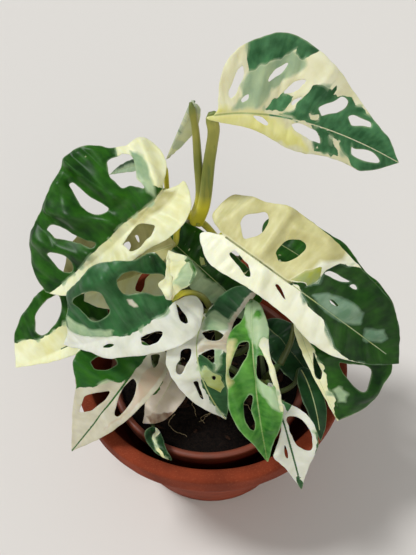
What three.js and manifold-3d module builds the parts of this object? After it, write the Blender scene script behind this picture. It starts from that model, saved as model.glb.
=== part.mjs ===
// A variegated monstera in a terracotta pot. Millimetres, +Z up.
// The origin is the middle of the pot's base, and -Y is the front.
import * as THREE from "three";
import { mergeVertices } from "three/addons/utils/BufferGeometryUtils.js";
import Module from "manifold-3d";

// Driving dimensions of the pots and the soil
const COVER_HEIGHT = 100;
const COVER_RIM_RADIUS = 82;
const COVER_LIP_RADIUS = 73.8;
const COVER_BASE_RADIUS = 52;
const COLLAR_DEPTH = 15.5;
const COLLAR_STEP = 3;
const COVER_LIP_ROUND = 2;
const COVER_WALL = 5;
const COVER_FLOOR = 6;
const FOOT_BEVEL = 2;
const INNER_BEVEL = 4;
const NURSERY_TOP = 93;
const NURSERY_RIM_RADIUS = 60;
const NURSERY_BASE_RADIUS = 38;
const NURSERY_WALL = 1.6;
const NURSERY_BAND = 9;
const NURSERY_BAND_STEP = 2.4;
const NURSERY_EDGE = 0.8;
const NURSERY_DRAIN_RADIUS = 7;
const NURSERY_CENTRE = [-1, -4.5];
const SOIL_TOP = 87;
const SEAT_GAP = 0.3;
const POT_SIDES = 48;
const SOIL_SIDES = 36;
const SOIL_RINGS = [0.92, 0.72, 0.5, 0.26];
const MOUND_HEIGHT = 1.4;
const STEM_HOLE_SIDES = 16;

// Driving dimensions of the plant
const BLADE_THICKNESS = 0.8;
const BLADE_GRID = 9.5;
const OUTLINE_STEP = 5;
const HOLE_STEP = 4.5;
const GRID_ROW_SHARE = 0.87;
const GRID_CLEAR_SHARE = 0.45;
const FEWEST_HOLE_POINTS = 7;
const SPLIT_ROUNDS = 5;
const ROLL_REFERENCE = 30;
const WAVE_HEIGHT = 1;
const WAVES_ALONG = 2.5;
const WAVE_REACH = 20;
const STEM_FOOT = 58;
const STEM_SIDES = 8;
const STEM_STEP = 11;

const LEAF_CREAM = "#e9e3b4";
const LEAF_MIXED = "#7e9a68";
const LEAF_GREEN = "#2d6238";
const STEM_OLIVE = "#a3a24c";
const TERRACOTTA = "#a9553a";
const NURSERY_BROWN = "#7a3a28";
const SOIL_BROWN = "#1c140f";

// Each leaf has three points of its midrib (base, bow, tip) and the way its face looks.
// left and right are points of its cut edge: mm along the midrib, then mm out from it.
// A hole is a ring of such points, with the right side as minus.
// fold is the lift of each half in degrees, roll its curl in degrees per 30 mm.
const LEAVES = {
  leaf_crown: {
    midrib: [[1, 32, 251], [39, 44, 250], [98, 44, 212]],
    facing: [0, -0.75, 0.6],
    fold: [5, -20],
    roll: [6, 0],
    left: [[3, 2.5], [4, 8], [5.5, 15], [11, 26], [28, 36], [37, 38], [60, 29], [86, 13], [97, 8]],
    right: [
      [-5, 0.5], [-2, 2], [4, 4], [14, 5.5], [32, 9], [48, 14], [58, 15], [69, 14], [78, 13], [86, 13],
      [94, 13], [101, 8],
    ],
    holes: [
      [[17, 22], [18, 17], [16, 13], [14, 9], [11, 7], [10, 9], [12, 14], [15, 20]],
      [[39, 25], [38, 21], [34, 17], [31, 15], [31, 17], [34, 21]],
      [[49, 19], [44, 17], [41, 13], [40, 11], [44, 12], [47, 14]],
      [[59, 8], [62, 11], [65, 13], [68, 17], [72, 16], [72, 13], [69, 9], [65, 7], [62, 5]],
      [[75, 9], [77, 11], [81, 11], [86, 11], [87, 9], [83, 8], [78, 6]],
      [[24, -1], [29, -1], [35, -4], [34, -5], [28, -3]],
      [[48, -3], [52, -1], [58, -2], [63, -3], [68, -8], [64, -8], [58, -7], [51, -5]],
      [[82, -2], [84, -4], [90, -2], [95, -2], [99, -4], [99, -5], [95, -7], [89, -8], [85, -7]],
    ],
    colour: LEAF_MIXED,
  },
  leaf_left_big: {
    midrib: [[-26, 44, 192], [-56, 10, 172], [-95, 15, 140]],
    facing: [-0.25, -0.6, 0.75],
    fold: [5, 5],
    left: [[-7, 5], [-10, 6], [-4, 16], [3, 21], [10, 22], [29, 16], [60, 14], [78, 9]],
    right: [
      [-15, 10], [-19, 22], [-17, 30], [-9, 33.5], [-3, 38], [2, 45], [9, 51], [22, 54], [43, 49], [77, 38],
      [91, 28], [96, 17],
    ],
    holes: [
      [
        [37, -41], [34, -41], [33, -37], [32, -30], [30, -24], [28, -16], [35, -17], [39, -22], [40, -27],
        [39, -34],
      ],
      [
        [72, -30], [68, -31], [62, -27], [57, -19], [52, -12], [48, -7], [51, -6], [55, -11], [62, -18],
        [70, -24],
      ],
      [[80, -18], [77, -18], [72, -15], [68, -10], [68, -6], [70, -3], [75, -4], [78, -8], [79, -13]],
      [[36, 4], [33, 3], [28, 2], [22, 2], [19, 5], [17, 10], [21, 12], [26, 12], [31, 12], [35, 10]],
      [
        [7, -34], [4, -34], [-1, -32], [-4, -31], [-6, -28], [-5, -25], [0, -19], [3, -16], [4, -12],
        [5, -9], [7, -12], [9, -16], [13, -18], [13, -23], [13, -27], [11, -30],
      ],
    ],
    colour: LEAF_GREEN,
  },
  leaf_left_under: {
    midrib: [[-20, 30, 165], [-55, 12, 165], [-88, 26, 136]],
    facing: [-0.2, -0.55, 0.8],
    left: [[11, 8], [40, 10], [60, 10]],
    right: [[4, 14], [16, 24], [34, 28], [50, 25], [61, 21]],
    holes: [],
    colour: LEAF_CREAM,
  },
  leaf_left_shade: {
    midrib: [[-29, 75, 184], [-47, 95, 170], [-68, 115, 140]],
    facing: [-0.2, -0.6, 0.75],
    left: [[8, 3], [30, 4], [50, 3]],
    right: [[8, 3], [30, 4], [50, 3]],
    holes: [],
    colour: LEAF_GREEN,
  },
  leaf_lower_cream: {
    midrib: [[-24, 38, 146], [-46, 21, 151], [-75, 19, 127]],
    facing: [-0.1, -0.5, 0.85],
    left: [[5, 9], [14, 19], [27, 22], [41, 17], [53, 9]],
    right: [[10, 9], [30, 12], [46, 10], [56, 6]],
    holes: [[[30, 11], [29, 8], [26, 5], [22, 3], [18, 5], [22, 7], [25, 11], [28, 13]]],
    colour: LEAF_CREAM,
  },
  leaf_left_front: {
    midrib: [[-20, -14, 168], [-44, -39, 165], [-83, -13, 128]],
    facing: [0, -0.7, 0.7],
    fold: [5, 5],
    left: [[-10, 3], [-13, 7], [-12, 12], [0, 20], [16, 19], [41, 12], [54, 10], [63, 5]],
    right: [
      [-9, 9], [-14, 17], [-12, 23], [-11, 26], [-5, 28], [7, 30], [13, 34], [23, 37], [35, 38], [44, 35],
      [63, 29], [67, 22], [72, 14], [75, 7],
    ],
    holes: [
      [
        [1, -6], [7, -9], [11, -13], [17, -15], [24, -18], [25, -21], [24, -24], [22, -26], [14, -27],
        [9, -25], [6, -22], [3, -20], [-3, -17], [-7, -14], [-5, -8],
      ],
      [[60, -23], [55, -26], [40, -27], [37, -24], [38, -18], [39, -13], [46, -11], [53, -11], [58, -17]],
      [[-1, 2], [-1, 7], [1, 13], [3, 13], [4, 10], [2, 6]],
      [[29, 6], [26, 6], [19, 7], [16, 9], [18, 11], [24, 12], [28, 11], [30, 9]],
    ],
    colour: LEAF_MIXED,
  },
  leaf_crumpled: {
    midrib: [[-20, -16, 172], [-20, -12, 183], [-23, 17, 174]],
    facing: [0.1, -0.6, 0.8],
    fold: [25, 25],
    left: [[3, 4], [8, 6], [12, 8], [15, 5], [20, 4], [26, 3]],
    right: [[4, 1], [8, 5], [10, 10], [12, 12], [16, 15], [19, 14], [25, 12], [29, 8], [32, 4]],
    holes: [],
    colour: LEAF_CREAM,
  },
  leaf_back_center: {
    midrib: [[24, 23, 110], [-3, 13, 160], [-43, 65, 155]],
    facing: [0.1, -0.68, 0.7],
    left: [[0, 5], [24, 9], [36, 13], [82, 6]],
    right: [[3, 12], [17, 18], [36, 19], [57, 18], [77, 14], [90, 8]],
    holes: [],
    colour: LEAF_GREEN,
  },
  leaf_right_big: {
    midrib: [[6, 11, 192], [41, -22, 190], [100, -32, 138]],
    facing: [0.1, -0.6, 0.75],
    fold: [5, -5],
    left: [[-15, 5], [-16, 11], [-14, 20], [10, 26], [23, 31], [35, 32], [92, 25], [102, 21], [110, 14]],
    right: [[-14, 6], [-6, 12], [4, 16], [36, 14], [62, 15], [77, 18], [91, 17], [101, 13], [112, 7]],
    holes: [
      [[5, 10], [5, 15], [10, 19], [15, 22], [19, 19], [20, 13], [17, 8], [13, 5], [9, 7]],
      [[34, 8], [34, 15], [37, 19], [44, 21], [46, 19], [45, 13], [42, 8], [38, 6]],
      [[11, -6], [13, -3], [20, -4], [25, -5], [30, -9], [27, -10], [20, -8], [14, -7]],
      [[62, 14], [64, 17], [70, 18], [76, 19], [74, 17], [68, 15]],
    ],
    colour: LEAF_CREAM,
  },
  leaf_right_back: {
    midrib: [[31, 56, 144], [68, 30, 149], [109, -2, 105]],
    facing: [0.2, -0.3, 0.9],
    left: [[-4, 9], [5, 21], [21, 23], [49, 23], [66, 20], [86, 20], [93, 17], [101, 10]],
    right: [[3, 9], [28, 12], [92, 8]],
    holes: [],
    colour: LEAF_GREEN,
  },
  leaf_right_low: {
    midrib: [[47, -3, 140], [52, -34, 142], [69, -51, 110]],
    facing: [0.3, -0.4, 0.8],
    fold: [10, -25],
    left: [[-4, 10], [-1, 24], [18, 35], [38, 42], [55, 42], [61, 36], [62, 29], [65, 26], [67, 20]],
    right: [[3, 2], [24, 3]],
    holes: [
      [[36, 14], [47, 15], [54, 17], [58, 20], [55, 26], [50, 30], [45, 27]],
      [[25, 3], [32, 3], [38, 3], [41, 1], [39, -1], [33, 0], [27, 2]],
    ],
    colour: LEAF_GREEN,
  },
  leaf_front_green: {
    midrib: [[22, -2, 155], [18, -61, 170], [29, -79, 118]],
    facing: [0, -0.7, 0.7],
    fold: [12, 12],
    left: [
      [3, 2], [9, 6], [20, 9], [30, 8.5], [38, 9], [47, 11], [58, 12], [68, 12], [75, 10.5], [84, 5.5],
    ],
    right: [[4, 3], [10, 4], [16, 6], [22, 11], [27, 13], [39, 14], [52, 15], [63, 15], [73, 12], [83, 6]],
    holes: [
      [
        [31, -8], [28, -4], [28, -2], [35, -3], [40, -6], [45, -9], [48, -12], [45, -13], [38, -11],
        [33, -9],
      ],
      [[57, -4], [58, -2], [66, -4], [73, -3], [76, -4], [74, -6], [70, -8], [65, -8], [60, -7]],
      [[36, 2], [36, 5], [39, 6.5], [47, 8], [54, 9], [52, 5], [49, 2], [46, 1]],
    ],
    colour: LEAF_GREEN,
  },
  leaf_front_white: {
    midrib: [[30, -43, 138], [37, -71, 142], [48, -84, 96]],
    facing: [0.1, -0.7, 0.7],
    fold: [5, 5],
    left: [[4, 2], [15, 3], [19, 6], [25, 11], [32, 14], [39, 15], [47, 14], [53, 9], [60, 4]],
    right: [[4, 2], [15, 3], [24, 1], [32, 3], [41, 9], [44, 10], [52, 6], [59, 3]],
    holes: [[[26, 3], [28, 8], [34, 11], [41, 12], [48, 10], [47, 7], [42, 3], [36, 2], [31, 2], [27, 2]]],
    colour: LEAF_CREAM,
  },
  leaf_mid_white: {
    midrib: [[-2, -10, 155], [-17, -43, 160], [8, -51, 112]],
    facing: [0, -0.7, 0.7],
    fold: [5, 5],
    left: [[-28, 2], [-34, 10], [-26, 13], [7, 16], [39, 15], [65, 6]],
    right: [[6, 2], [22, 13], [30, 16], [35, 16], [52, 11]],
    holes: [
      [[16, 2], [13, 5], [11, 9], [13, 13], [19, 12], [21, 8], [19, 4]],
      [[31, 2], [29, 5], [28, 9], [38, 8], [34, 5]],
      [[33, -9], [28, -8], [27, -3], [31, -3], [36, -6], [40, -10], [39, -12], [35, -11]],
      [[46, -5], [46, -3], [52, -3], [57, -4], [55, -5]],
    ],
    colour: LEAF_MIXED,
  },
  leaf_low_left: {
    midrib: [[-34, -12, 125], [-49, -49, 133], [-77, -62, 96]],
    facing: [-0.1, -0.5, 0.85],
    fold: [5, 5],
    left: [[-2, 5], [2, 11], [10, 16], [18, 17], [53, 11]],
    right: [[0, 7], [10, 18], [22, 28], [32, 31], [41, 27], [47, 21], [55, 17]],
    holes: [
      [[31, -22], [24, -20], [20, -13], [22, -10], [28, -12], [33, -18]],
      [[50, -13], [47, -12], [42, -8], [38, -4], [43, -3], [47, -4], [54, -6], [58, -10], [57, -11]],
      [[24, 2], [25, 5], [31, 8], [36, 9], [42, 9], [46, 8], [46, 6], [40, 3], [34, 1], [27, 1]],
      [[6, 3], [3, 7], [9, 9], [13, 9], [10, 6]],
    ],
    colour: LEAF_CREAM,
  },
  leaf_far_left: {
    midrib: [[-60, 11, 116], [-85, -14, 122], [-116, -10, 100]],
    facing: [-0.2, -0.5, 0.8],
    fold: [5, 5],
    left: [[4, 8], [34, 6]],
    right: [[-4, 11], [1, 24], [12, 32], [24, 37], [48, 29], [57, 22], [63, 13]],
    holes: [
      [[42, -23], [34, -28], [27, -30], [20, -30], [21, -24], [27, -17], [35, -13], [42, -12], [45, -16]],
    ],
    colour: LEAF_MIXED,
  },
  leaf_young_rolled: {
    midrib: [[-8, 36, 256], [-14, 40, 239], [-26, 71, 190]],
    facing: [0.3, 0.6, -0.7],
    fold: [50, 50],
    roll: [60, 60],
    left: [[4, 2.5], [12, 5], [34, 7], [48, 5.5]],
    right: [[4, 2.5], [12, 5], [34, 7], [48, 5.5]],
    holes: [],
    colour: LEAF_CREAM,
  },
  leaf_old_drooping: {
    midrib: [[-19, -15, 112], [-23, -41, 120], [-39, -45, 96]],
    facing: [0, -0.6, 0.8],
    left: [[3, 6], [12, 10], [19, 11], [32, 9], [39, 6]],
    right: [[5, 5], [14, 10], [25, 10]],
    holes: [],
    colour: LEAF_CREAM,
  },
  leaf_withered: {
    midrib: [[-33, -47, 97], [-30, -62, 103], [-21, -68, 96]],
    facing: [0, -0.5, 0.8],
    left: [[5, 3], [21, 2]],
    right: [[3, 5], [16, 4]],
    holes: [],
    colour: LEAF_GREEN,
  },
  leaf_inner_dark: {
    midrib: [[31, 18, 108], [45, -9, 122], [63, -30, 106]],
    facing: [0, -0.3, 0.9],
    left: [[5, 7], [23, 13], [40, 12], [52, 6]],
    right: [[11, 7], [26, 12], [41, 12], [54, 7]],
    holes: [],
    colour: LEAF_GREEN,
  },
  leaf_rim_dark: {
    midrib: [[50, -22, 119], [56, -43, 127], [59, -62, 108]],
    facing: [0.3, -0.5, 0.8],
    left: [[2, 4], [12, 7], [38, 4]],
    right: [[11, 6], [23, 7], [39, 3]],
    holes: [],
    colour: LEAF_GREEN,
  },
};

// Each stem stands in the soil at its foot and is one body with the leaf stalks that grow from it.
// A stalk goes through its own points and ends under the base of its leaf.
const STEMS = {
  stem_back: {
    foot: [-13, 36],
    trunk: [[-14, 48, 112], [-14, 59, 136], [-12, 59, 155], [-9, 50, 167], [-7, 36, 174]],
    radii: [4.2, 3.4],
    stalks: {
      leaf_crown: {
        route: [[-8, 42, 171], [-4, 35, 190], [-1, 34, 222], [0, 33, 231], [1, 32, 243]],
        radii: [3.8, 2.6],
      },
      leaf_young_rolled: {
        route: [[-9, 44, 171], [-6, 38, 194], [-7, 38, 218], [-8, 37, 240]],
        radii: [3.4, 1.6],
      },
      leaf_left_big: { route: [[-12, 59, 155], [-18, 55, 169], [-25, 50, 182]], radii: [2.4, 1.6] },
      leaf_right_big: {
        route: [[-11, 57, 160], [-3, 44, 165], [3, 31, 169], [5, 19, 182]],
        radii: [2.2, 1.6],
      },
      leaf_left_under: { route: [[-9, 49, 167], [-15, 45, 171], [-19, 37, 170]], radii: [2, 1.4] },
      leaf_lower_cream: {
        route: [[-14, 49, 114], [-21, 51, 126], [-25, 46, 137]],
        radii: [2, 1.4],
      },
      leaf_left_shade: { route: [[-14, 50, 116], [-22, 66, 132], [-26, 74, 150]], radii: [2, 1.4] },
      leaf_right_back: { route: [[-13, 45, 104], [10, 56, 114], [28, 60, 131]], radii: [2, 1.4] },
      leaf_back_center: { route: [[-13, 38, 94], [6, 34, 94], [22, 27, 101]], radii: [2, 1.4] },
    },
  },
  stem_front: {
    foot: [6, -8],
    trunk: [[6, -6, 105], [4, -2, 130], [2, 0, 140]],
    radii: [3, 2.4],
    stalks: {
      leaf_front_green: {
        route: [[6, -6, 106], [19, -11, 120], [27, -7, 138], [24, -3, 147]],
        radii: [2, 1.5],
      },
      leaf_mid_white: { route: [[4, -2, 128], [0, -4, 140], [-2, -6, 148]], radii: [2, 1.5] },
      leaf_left_front: { route: [[3, -1, 134], [-8, -2, 148], [-18, -8, 159]], radii: [2, 1.5] },
      leaf_crumpled: { route: [[2, 0, 138], [-5, 0, 155], [-15, -8, 168]], radii: [2, 1.4] },
      leaf_front_white: { route: [[6, -6, 100], [20, -22, 108], [29, -38, 128]], radii: [2, 1.4] },
    },
  },
  stem_left: {
    foot: [-30, -14],
    trunk: [[-31, -13, 100], [-32, -10, 112]],
    radii: [2.6, 2],
    stalks: {
      leaf_low_left: { route: [[-32, -11, 108], [-33, -9, 116]], radii: [1.9, 1.4] },
      leaf_far_left: { route: [[-31, -13, 100], [-46, 2, 104], [-58, 12, 109]], radii: [1.9, 1.4] },
      leaf_old_drooping: {
        route: [[-31, -13, 98], [-24, -12, 103], [-19, -12, 107]],
        radii: [1.7, 1.2],
      },
      leaf_withered: { route: [[-30, -14, 92], [-33, -30, 92], [-34, -42, 93]], radii: [1.5, 1] },
    },
  },
  stem_right: {
    foot: [32, -14],
    trunk: [[34, -20, 108], [40, -20, 122]],
    radii: [2.6, 2],
    stalks: {
      leaf_right_low: { route: [[39, -20, 119], [45, -11, 129], [47, -3, 133]], radii: [1.9, 1.4] },
      leaf_inner_dark: { route: [[32, -14, 93], [31, 8, 94], [31, 18, 102]], radii: [1.7, 1.2] },
      leaf_rim_dark: { route: [[32, -14, 98], [39, -30, 106], [47, -29, 113]], radii: [1.7, 1.2] },
    },
  },
};

const wasm = await Module();
wasm.setup();

// Solids for joining and cutting
function toSolid(geometry) {
  const bare = geometry.clone();
  bare.deleteAttribute("normal");
  bare.deleteAttribute("uv");
  const merged = mergeVertices(bare, 1e-4);
  return new wasm.Manifold(new wasm.Mesh({
    numProp: 3,
    vertProperties: merged.attributes.position.array,
    triVerts: new Uint32Array(merged.index.array),
  }));
}

function toGeometry(solid) {
  const mesh = solid.getMesh();
  const geometry = new THREE.BufferGeometry();
  geometry.setAttribute("position", new THREE.BufferAttribute(mesh.vertProperties, 3));
  geometry.setIndex(new THREE.BufferAttribute(mesh.triVerts, 1));
  geometry.computeVertexNormals();
  return geometry;
}

function finish(name, geometry, colour, roughness) {
  const material = new THREE.MeshStandardMaterial({ color: colour, roughness, metalness: 0 });
  const mesh = new THREE.Mesh(geometry, material);
  mesh.name = name;
  return mesh;
}

// A profile of [radius, height] points turned about the Z axis, standing on its own base
function turned(profile, sides) {
  const points = profile.map(([radius, height]) => new THREE.Vector2(radius, height));
  const geometry = new THREE.LatheGeometry(points, sides);
  geometry.rotateX(Math.PI / 2);
  return geometry;
}

// Points of a quarter round lip, from the angle start to the angle end in degrees
function lipArc(centreRadius, centreHeight, size, start, end, count) {
  const points = [];
  for (let i = 0; i <= count; i += 1) {
    const angle = THREE.MathUtils.degToRad(start + ((end - start) * i) / count);
    points.push([centreRadius + size * Math.cos(angle), centreHeight + size * Math.sin(angle)]);
  }
  return points;
}

function coverPot() {
  const collarBottom = COVER_HEIGHT - COLLAR_DEPTH;
  const lipHeight = COVER_HEIGHT - COVER_LIP_ROUND;
  const innerBase = COVER_BASE_RADIUS - COVER_WALL;
  const profile = [
    [0, 0],
    [COVER_BASE_RADIUS - FOOT_BEVEL, 0],
    [COVER_BASE_RADIUS, FOOT_BEVEL],
    [COVER_RIM_RADIUS - COLLAR_STEP - 1, collarBottom],
    [COVER_RIM_RADIUS - 1, collarBottom + 1],
    ...lipArc(COVER_RIM_RADIUS - COVER_LIP_ROUND, lipHeight, COVER_LIP_ROUND, 0, 90, 3),
    ...lipArc(COVER_LIP_RADIUS + COVER_LIP_ROUND, lipHeight, COVER_LIP_ROUND, 90, 180, 3),
    [COVER_LIP_RADIUS - 1.5, collarBottom],
    [innerBase, COVER_FLOOR + INNER_BEVEL],
    [innerBase - INNER_BEVEL / 2, COVER_FLOOR],
    [0, COVER_FLOOR],
  ];
  return finish("cover_pot", turned(profile, POT_SIDES), TERRACOTTA, 0.8);
}

// Radius of the nursery pot's outer wall at a height above its own base
function nurseryRadius(height) {
  const tall = NURSERY_TOP - COVER_FLOOR - SEAT_GAP;
  const bodyTopRadius = NURSERY_RIM_RADIUS - NURSERY_BAND_STEP;
  return NURSERY_BASE_RADIUS + ((bodyTopRadius - NURSERY_BASE_RADIUS) * height) / tall;
}

function nurseryPot() {
  const tall = NURSERY_TOP - COVER_FLOOR - SEAT_GAP;
  const bandBottom = tall - NURSERY_BAND;
  const edge = NURSERY_EDGE;
  const innerTop = nurseryRadius(tall) - NURSERY_WALL;
  const profile = [
    [NURSERY_DRAIN_RADIUS, 0],
    [NURSERY_BASE_RADIUS, 0],
    [nurseryRadius(bandBottom), bandBottom],
    [NURSERY_RIM_RADIUS - edge, bandBottom],
    [NURSERY_RIM_RADIUS, tall - edge],
    [NURSERY_RIM_RADIUS - edge, tall],
    [innerTop + edge, tall],
    [innerTop, tall - edge],
    [NURSERY_BASE_RADIUS - NURSERY_WALL, NURSERY_WALL],
    [NURSERY_DRAIN_RADIUS, NURSERY_WALL],
    [NURSERY_DRAIN_RADIUS, 0],
  ];
  const mesh = finish("nursery_pot", turned(profile, POT_SIDES), NURSERY_BROWN, 0.55);
  mesh.position.set(NURSERY_CENTRE[0], NURSERY_CENTRE[1], COVER_FLOOR + SEAT_GAP);
  return mesh;
}

// The soil fills the nursery pot, with low mounds on top and a plain hole for each stem
function soil() {
  const base = COVER_FLOOR + SEAT_GAP;
  const bottom = NURSERY_WALL + SEAT_GAP;
  const top = SOIL_TOP - base;
  const wall = (height) => nurseryRadius(height) - NURSERY_WALL - 2 * SEAT_GAP;
  const profile = [
    [0, bottom],
    [wall(0) - 1, bottom],
    [wall(top), top],
    ...SOIL_RINGS.map((share) => [wall(top) * share, top]),
    [0, top],
  ];
  const geometry = turned(profile, SOIL_SIDES);
  const places = geometry.attributes.position;
  for (let i = 0; i < places.count; i += 1) {
    const x = places.getX(i);
    const y = places.getY(i);
    const away = Math.hypot(x, y) / wall(top);
    if (places.getZ(i) > top - 0.1 && away < 0.95) {
      const mound = Math.sin(x * 0.21 + 1) * Math.cos(y * 0.17) + 0.6 * Math.sin(x * 0.09 - y * 0.13);
      places.setZ(i, top + MOUND_HEIGHT * mound * (1 - away));
    }
  }
  geometry.translate(NURSERY_CENTRE[0], NURSERY_CENTRE[1], base);
  let solid = toSolid(geometry);
  for (const stem of Object.values(STEMS)) {
    const radius = stem.radii[0] + SEAT_GAP + 0.1;
    const depth = SOIL_TOP + 10 - STEM_FOOT + SEAT_GAP;
    const hole = new THREE.CylinderGeometry(radius, radius, depth, STEM_HOLE_SIDES);
    hole.rotateX(Math.PI / 2);
    hole.translate(stem.foot[0], stem.foot[1], STEM_FOOT - SEAT_GAP + depth / 2);
    solid = solid.subtract(toSolid(hole));
  }
  return finish("soil", toGeometry(solid), SOIL_BROWN, 0.95);
}

// A round tube along a curve through the points, its radius going from the first to the last value
function taperedTube(points, radii, sides) {
  const curve = new THREE.CatmullRomCurve3(points, false, "centripetal");
  const steps = Math.max(3, Math.round(curve.getLength() / STEM_STEP));
  const frames = curve.computeFrenetFrames(steps, false);
  const positions = [];
  const faces = [];
  for (let i = 0; i <= steps; i += 1) {
    const centre = curve.getPointAt(i / steps);
    const radius = radii[0] + ((radii[1] - radii[0]) * i) / steps;
    for (let j = 0; j < sides; j += 1) {
      const angle = (2 * Math.PI * j) / sides;
      const spot = centre.clone();
      spot.addScaledVector(frames.normals[i], radius * Math.cos(angle));
      spot.addScaledVector(frames.binormals[i], radius * Math.sin(angle));
      positions.push(spot.x, spot.y, spot.z);
    }
  }
  for (let i = 0; i < steps; i += 1) {
    for (let j = 0; j < sides; j += 1) {
      const a = i * sides + j;
      const b = i * sides + ((j + 1) % sides);
      faces.push(a, b, b + sides, a, b + sides, a + sides);
    }
  }
  for (let j = 1; j < sides - 1; j += 1) {
    const last = steps * sides;
    faces.push(0, j + 1, j, last, last + j, last + j + 1);
  }
  const geometry = new THREE.BufferGeometry();
  geometry.setAttribute("position", new THREE.Float32BufferAttribute(positions, 3));
  geometry.setIndex(faces);
  return geometry;
}

// The blade as a surface: x is mm along the midrib and y is mm across, plus on the left
function bladeSurface(leaf) {
  const [base, bow, tip] = leaf.midrib.map((point) => new THREE.Vector3(...point));
  const midrib = new THREE.QuadraticBezierCurve3(base, bow, tip);
  midrib.arcLengthDivisions = 200;
  const length = midrib.getLength();
  const facing = new THREE.Vector3(...leaf.facing).normalize();
  const fold = leaf.fold ?? [8, 8];
  const roll = leaf.roll ?? [0, 0];

  function spot(x, y) {
    const t = x / length;
    const centre = new THREE.Vector3();
    centre.addScaledVector(base, (1 - t) ** 2);
    centre.addScaledVector(bow, 2 * t * (1 - t));
    centre.addScaledVector(tip, t * t);
    const held = THREE.MathUtils.clamp(t, -0.3, 1.1);
    const along = new THREE.Vector3();
    along.addScaledVector(new THREE.Vector3().subVectors(bow, base), 1 - held);
    along.addScaledVector(new THREE.Vector3().subVectors(tip, bow), held);
    along.normalize();
    const normal = facing.clone().addScaledVector(along, -facing.dot(along)).normalize();
    const across = new THREE.Vector3().crossVectors(normal, along);
    const side = y >= 0 ? 0 : 1;
    const out = Math.abs(y);
    const lift = THREE.MathUtils.degToRad(fold[side]);
    const bend = THREE.MathUtils.degToRad(roll[side]) / ROLL_REFERENCE || 1e-7;
    const sideways = (Math.sin(lift + bend * out) - Math.sin(lift)) / bend;
    let height = (Math.cos(lift) - Math.cos(lift + bend * out)) / bend;
    const reach = Math.min(out / WAVE_REACH, 1) ** 2;
    height += WAVE_HEIGHT * Math.sin(2 * Math.PI * WAVES_ALONG * t) * reach;
    centre.addScaledVector(across, side === 0 ? sideways : -sideways);
    return centre.addScaledVector(normal, height);
  }

  function normalAt(x, y) {
    const step = 0.5;
    const alongEdge = spot(x + step, y).sub(spot(x - step, y));
    const acrossEdge = spot(x, y + step).sub(spot(x, y - step));
    return alongEdge.cross(acrossEdge).normalize();
  }

  return { length, spot, normalAt };
}

// Evenly spaced points of the smooth edge through the base, one side's points and the tip
function edgePoints(side, sign, length) {
  const points = [[0, 0], ...side, [length, 0]].map(([x, y]) => new THREE.Vector3(x, sign * y, 0));
  const curve = new THREE.CatmullRomCurve3(points, false, "centripetal");
  const count = Math.max(4, Math.round(curve.getLength() / OUTLINE_STEP));
  return curve.getSpacedPoints(count).map((point) => [point.x, point.y]);
}

function holePoints(hole) {
  const points = hole.map(([x, y]) => new THREE.Vector3(x, y, 0));
  const curve = new THREE.CatmullRomCurve3(points, true, "centripetal");
  const count = Math.max(FEWEST_HOLE_POINTS, Math.round(curve.getLength() / HOLE_STEP));
  return curve.getSpacedPoints(count).slice(0, -1).map((point) => [point.x, point.y]);
}

function isInside(ring, [x, y]) {
  let inside = false;
  for (let i = 0, j = ring.length - 1; i < ring.length; j = i, i += 1) {
    const [ax, ay] = ring[i];
    const [bx, by] = ring[j];
    if (ay > y !== by > y && x < ((bx - ax) * (y - ay)) / (by - ay) + ax) inside = !inside;
  }
  return inside;
}

// Triangles of the flat points so that no point lies in another triangle's circle
function delaunay(points) {
  const far = 1e4;
  const spots = [...points, [-far, -far], [far, -far], [0, far]];
  const count = points.length;
  let triangles = [{ corners: [count, count + 1, count + 2], x: 0, y: 0, square: Infinity }];

  function circle(corners) {
    const [[ax, ay], [bx, by], [cx, cy]] = corners.map((corner) => spots[corner]);
    const twice = 2 * (ax * (by - cy) + bx * (cy - ay) + cx * (ay - by));
    const a2 = ax * ax + ay * ay;
    const b2 = bx * bx + by * by;
    const c2 = cx * cx + cy * cy;
    const x = (a2 * (by - cy) + b2 * (cy - ay) + c2 * (ay - by)) / twice;
    const y = (a2 * (cx - bx) + b2 * (ax - cx) + c2 * (bx - ax)) / twice;
    return { corners, x, y, square: (ax - x) ** 2 + (ay - y) ** 2 };
  }

  points.forEach(([px, py], index) => {
    const edges = new Map();
    triangles = triangles.filter((triangle) => {
      const square = (px - triangle.x) ** 2 + (py - triangle.y) ** 2;
      if (square >= triangle.square) return true;
      triangle.corners.forEach((corner, k) => {
        const next = triangle.corners[(k + 1) % 3];
        const back = next + "," + corner;
        if (edges.has(back)) edges.delete(back);
        else edges.set(corner + "," + next, [corner, next]);
      });
      return false;
    });
    for (const [a, b] of edges.values()) triangles.push(circle([a, b, index]));
  });
  return triangles.map((triangle) => triangle.corners).filter((corners) => Math.max(...corners) < count);
}

// A ring's edges that the triangles lack are halved, so that the triangles follow it
function splitMissing(ring, points, triangles) {
  const edges = new Set();
  for (const corners of triangles) {
    corners.forEach((corner, k) => {
      const next = corners[(k + 1) % 3];
      edges.add(Math.min(corner, next) + "," + Math.max(corner, next));
    });
  }
  const place = new Map(points.map((point, index) => [point, index]));
  const split = [];
  ring.forEach((point, k) => {
    const next = ring[(k + 1) % ring.length];
    const [a, b] = [place.get(point), place.get(next)];
    split.push(point);
    const length = Math.hypot(next[0] - point[0], next[1] - point[1]);
    if (!edges.has(Math.min(a, b) + "," + Math.max(a, b)) && length > 0.5) {
      split.push([(point[0] + next[0]) / 2, (point[1] + next[1]) / 2]);
    }
  });
  return split;
}

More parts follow.
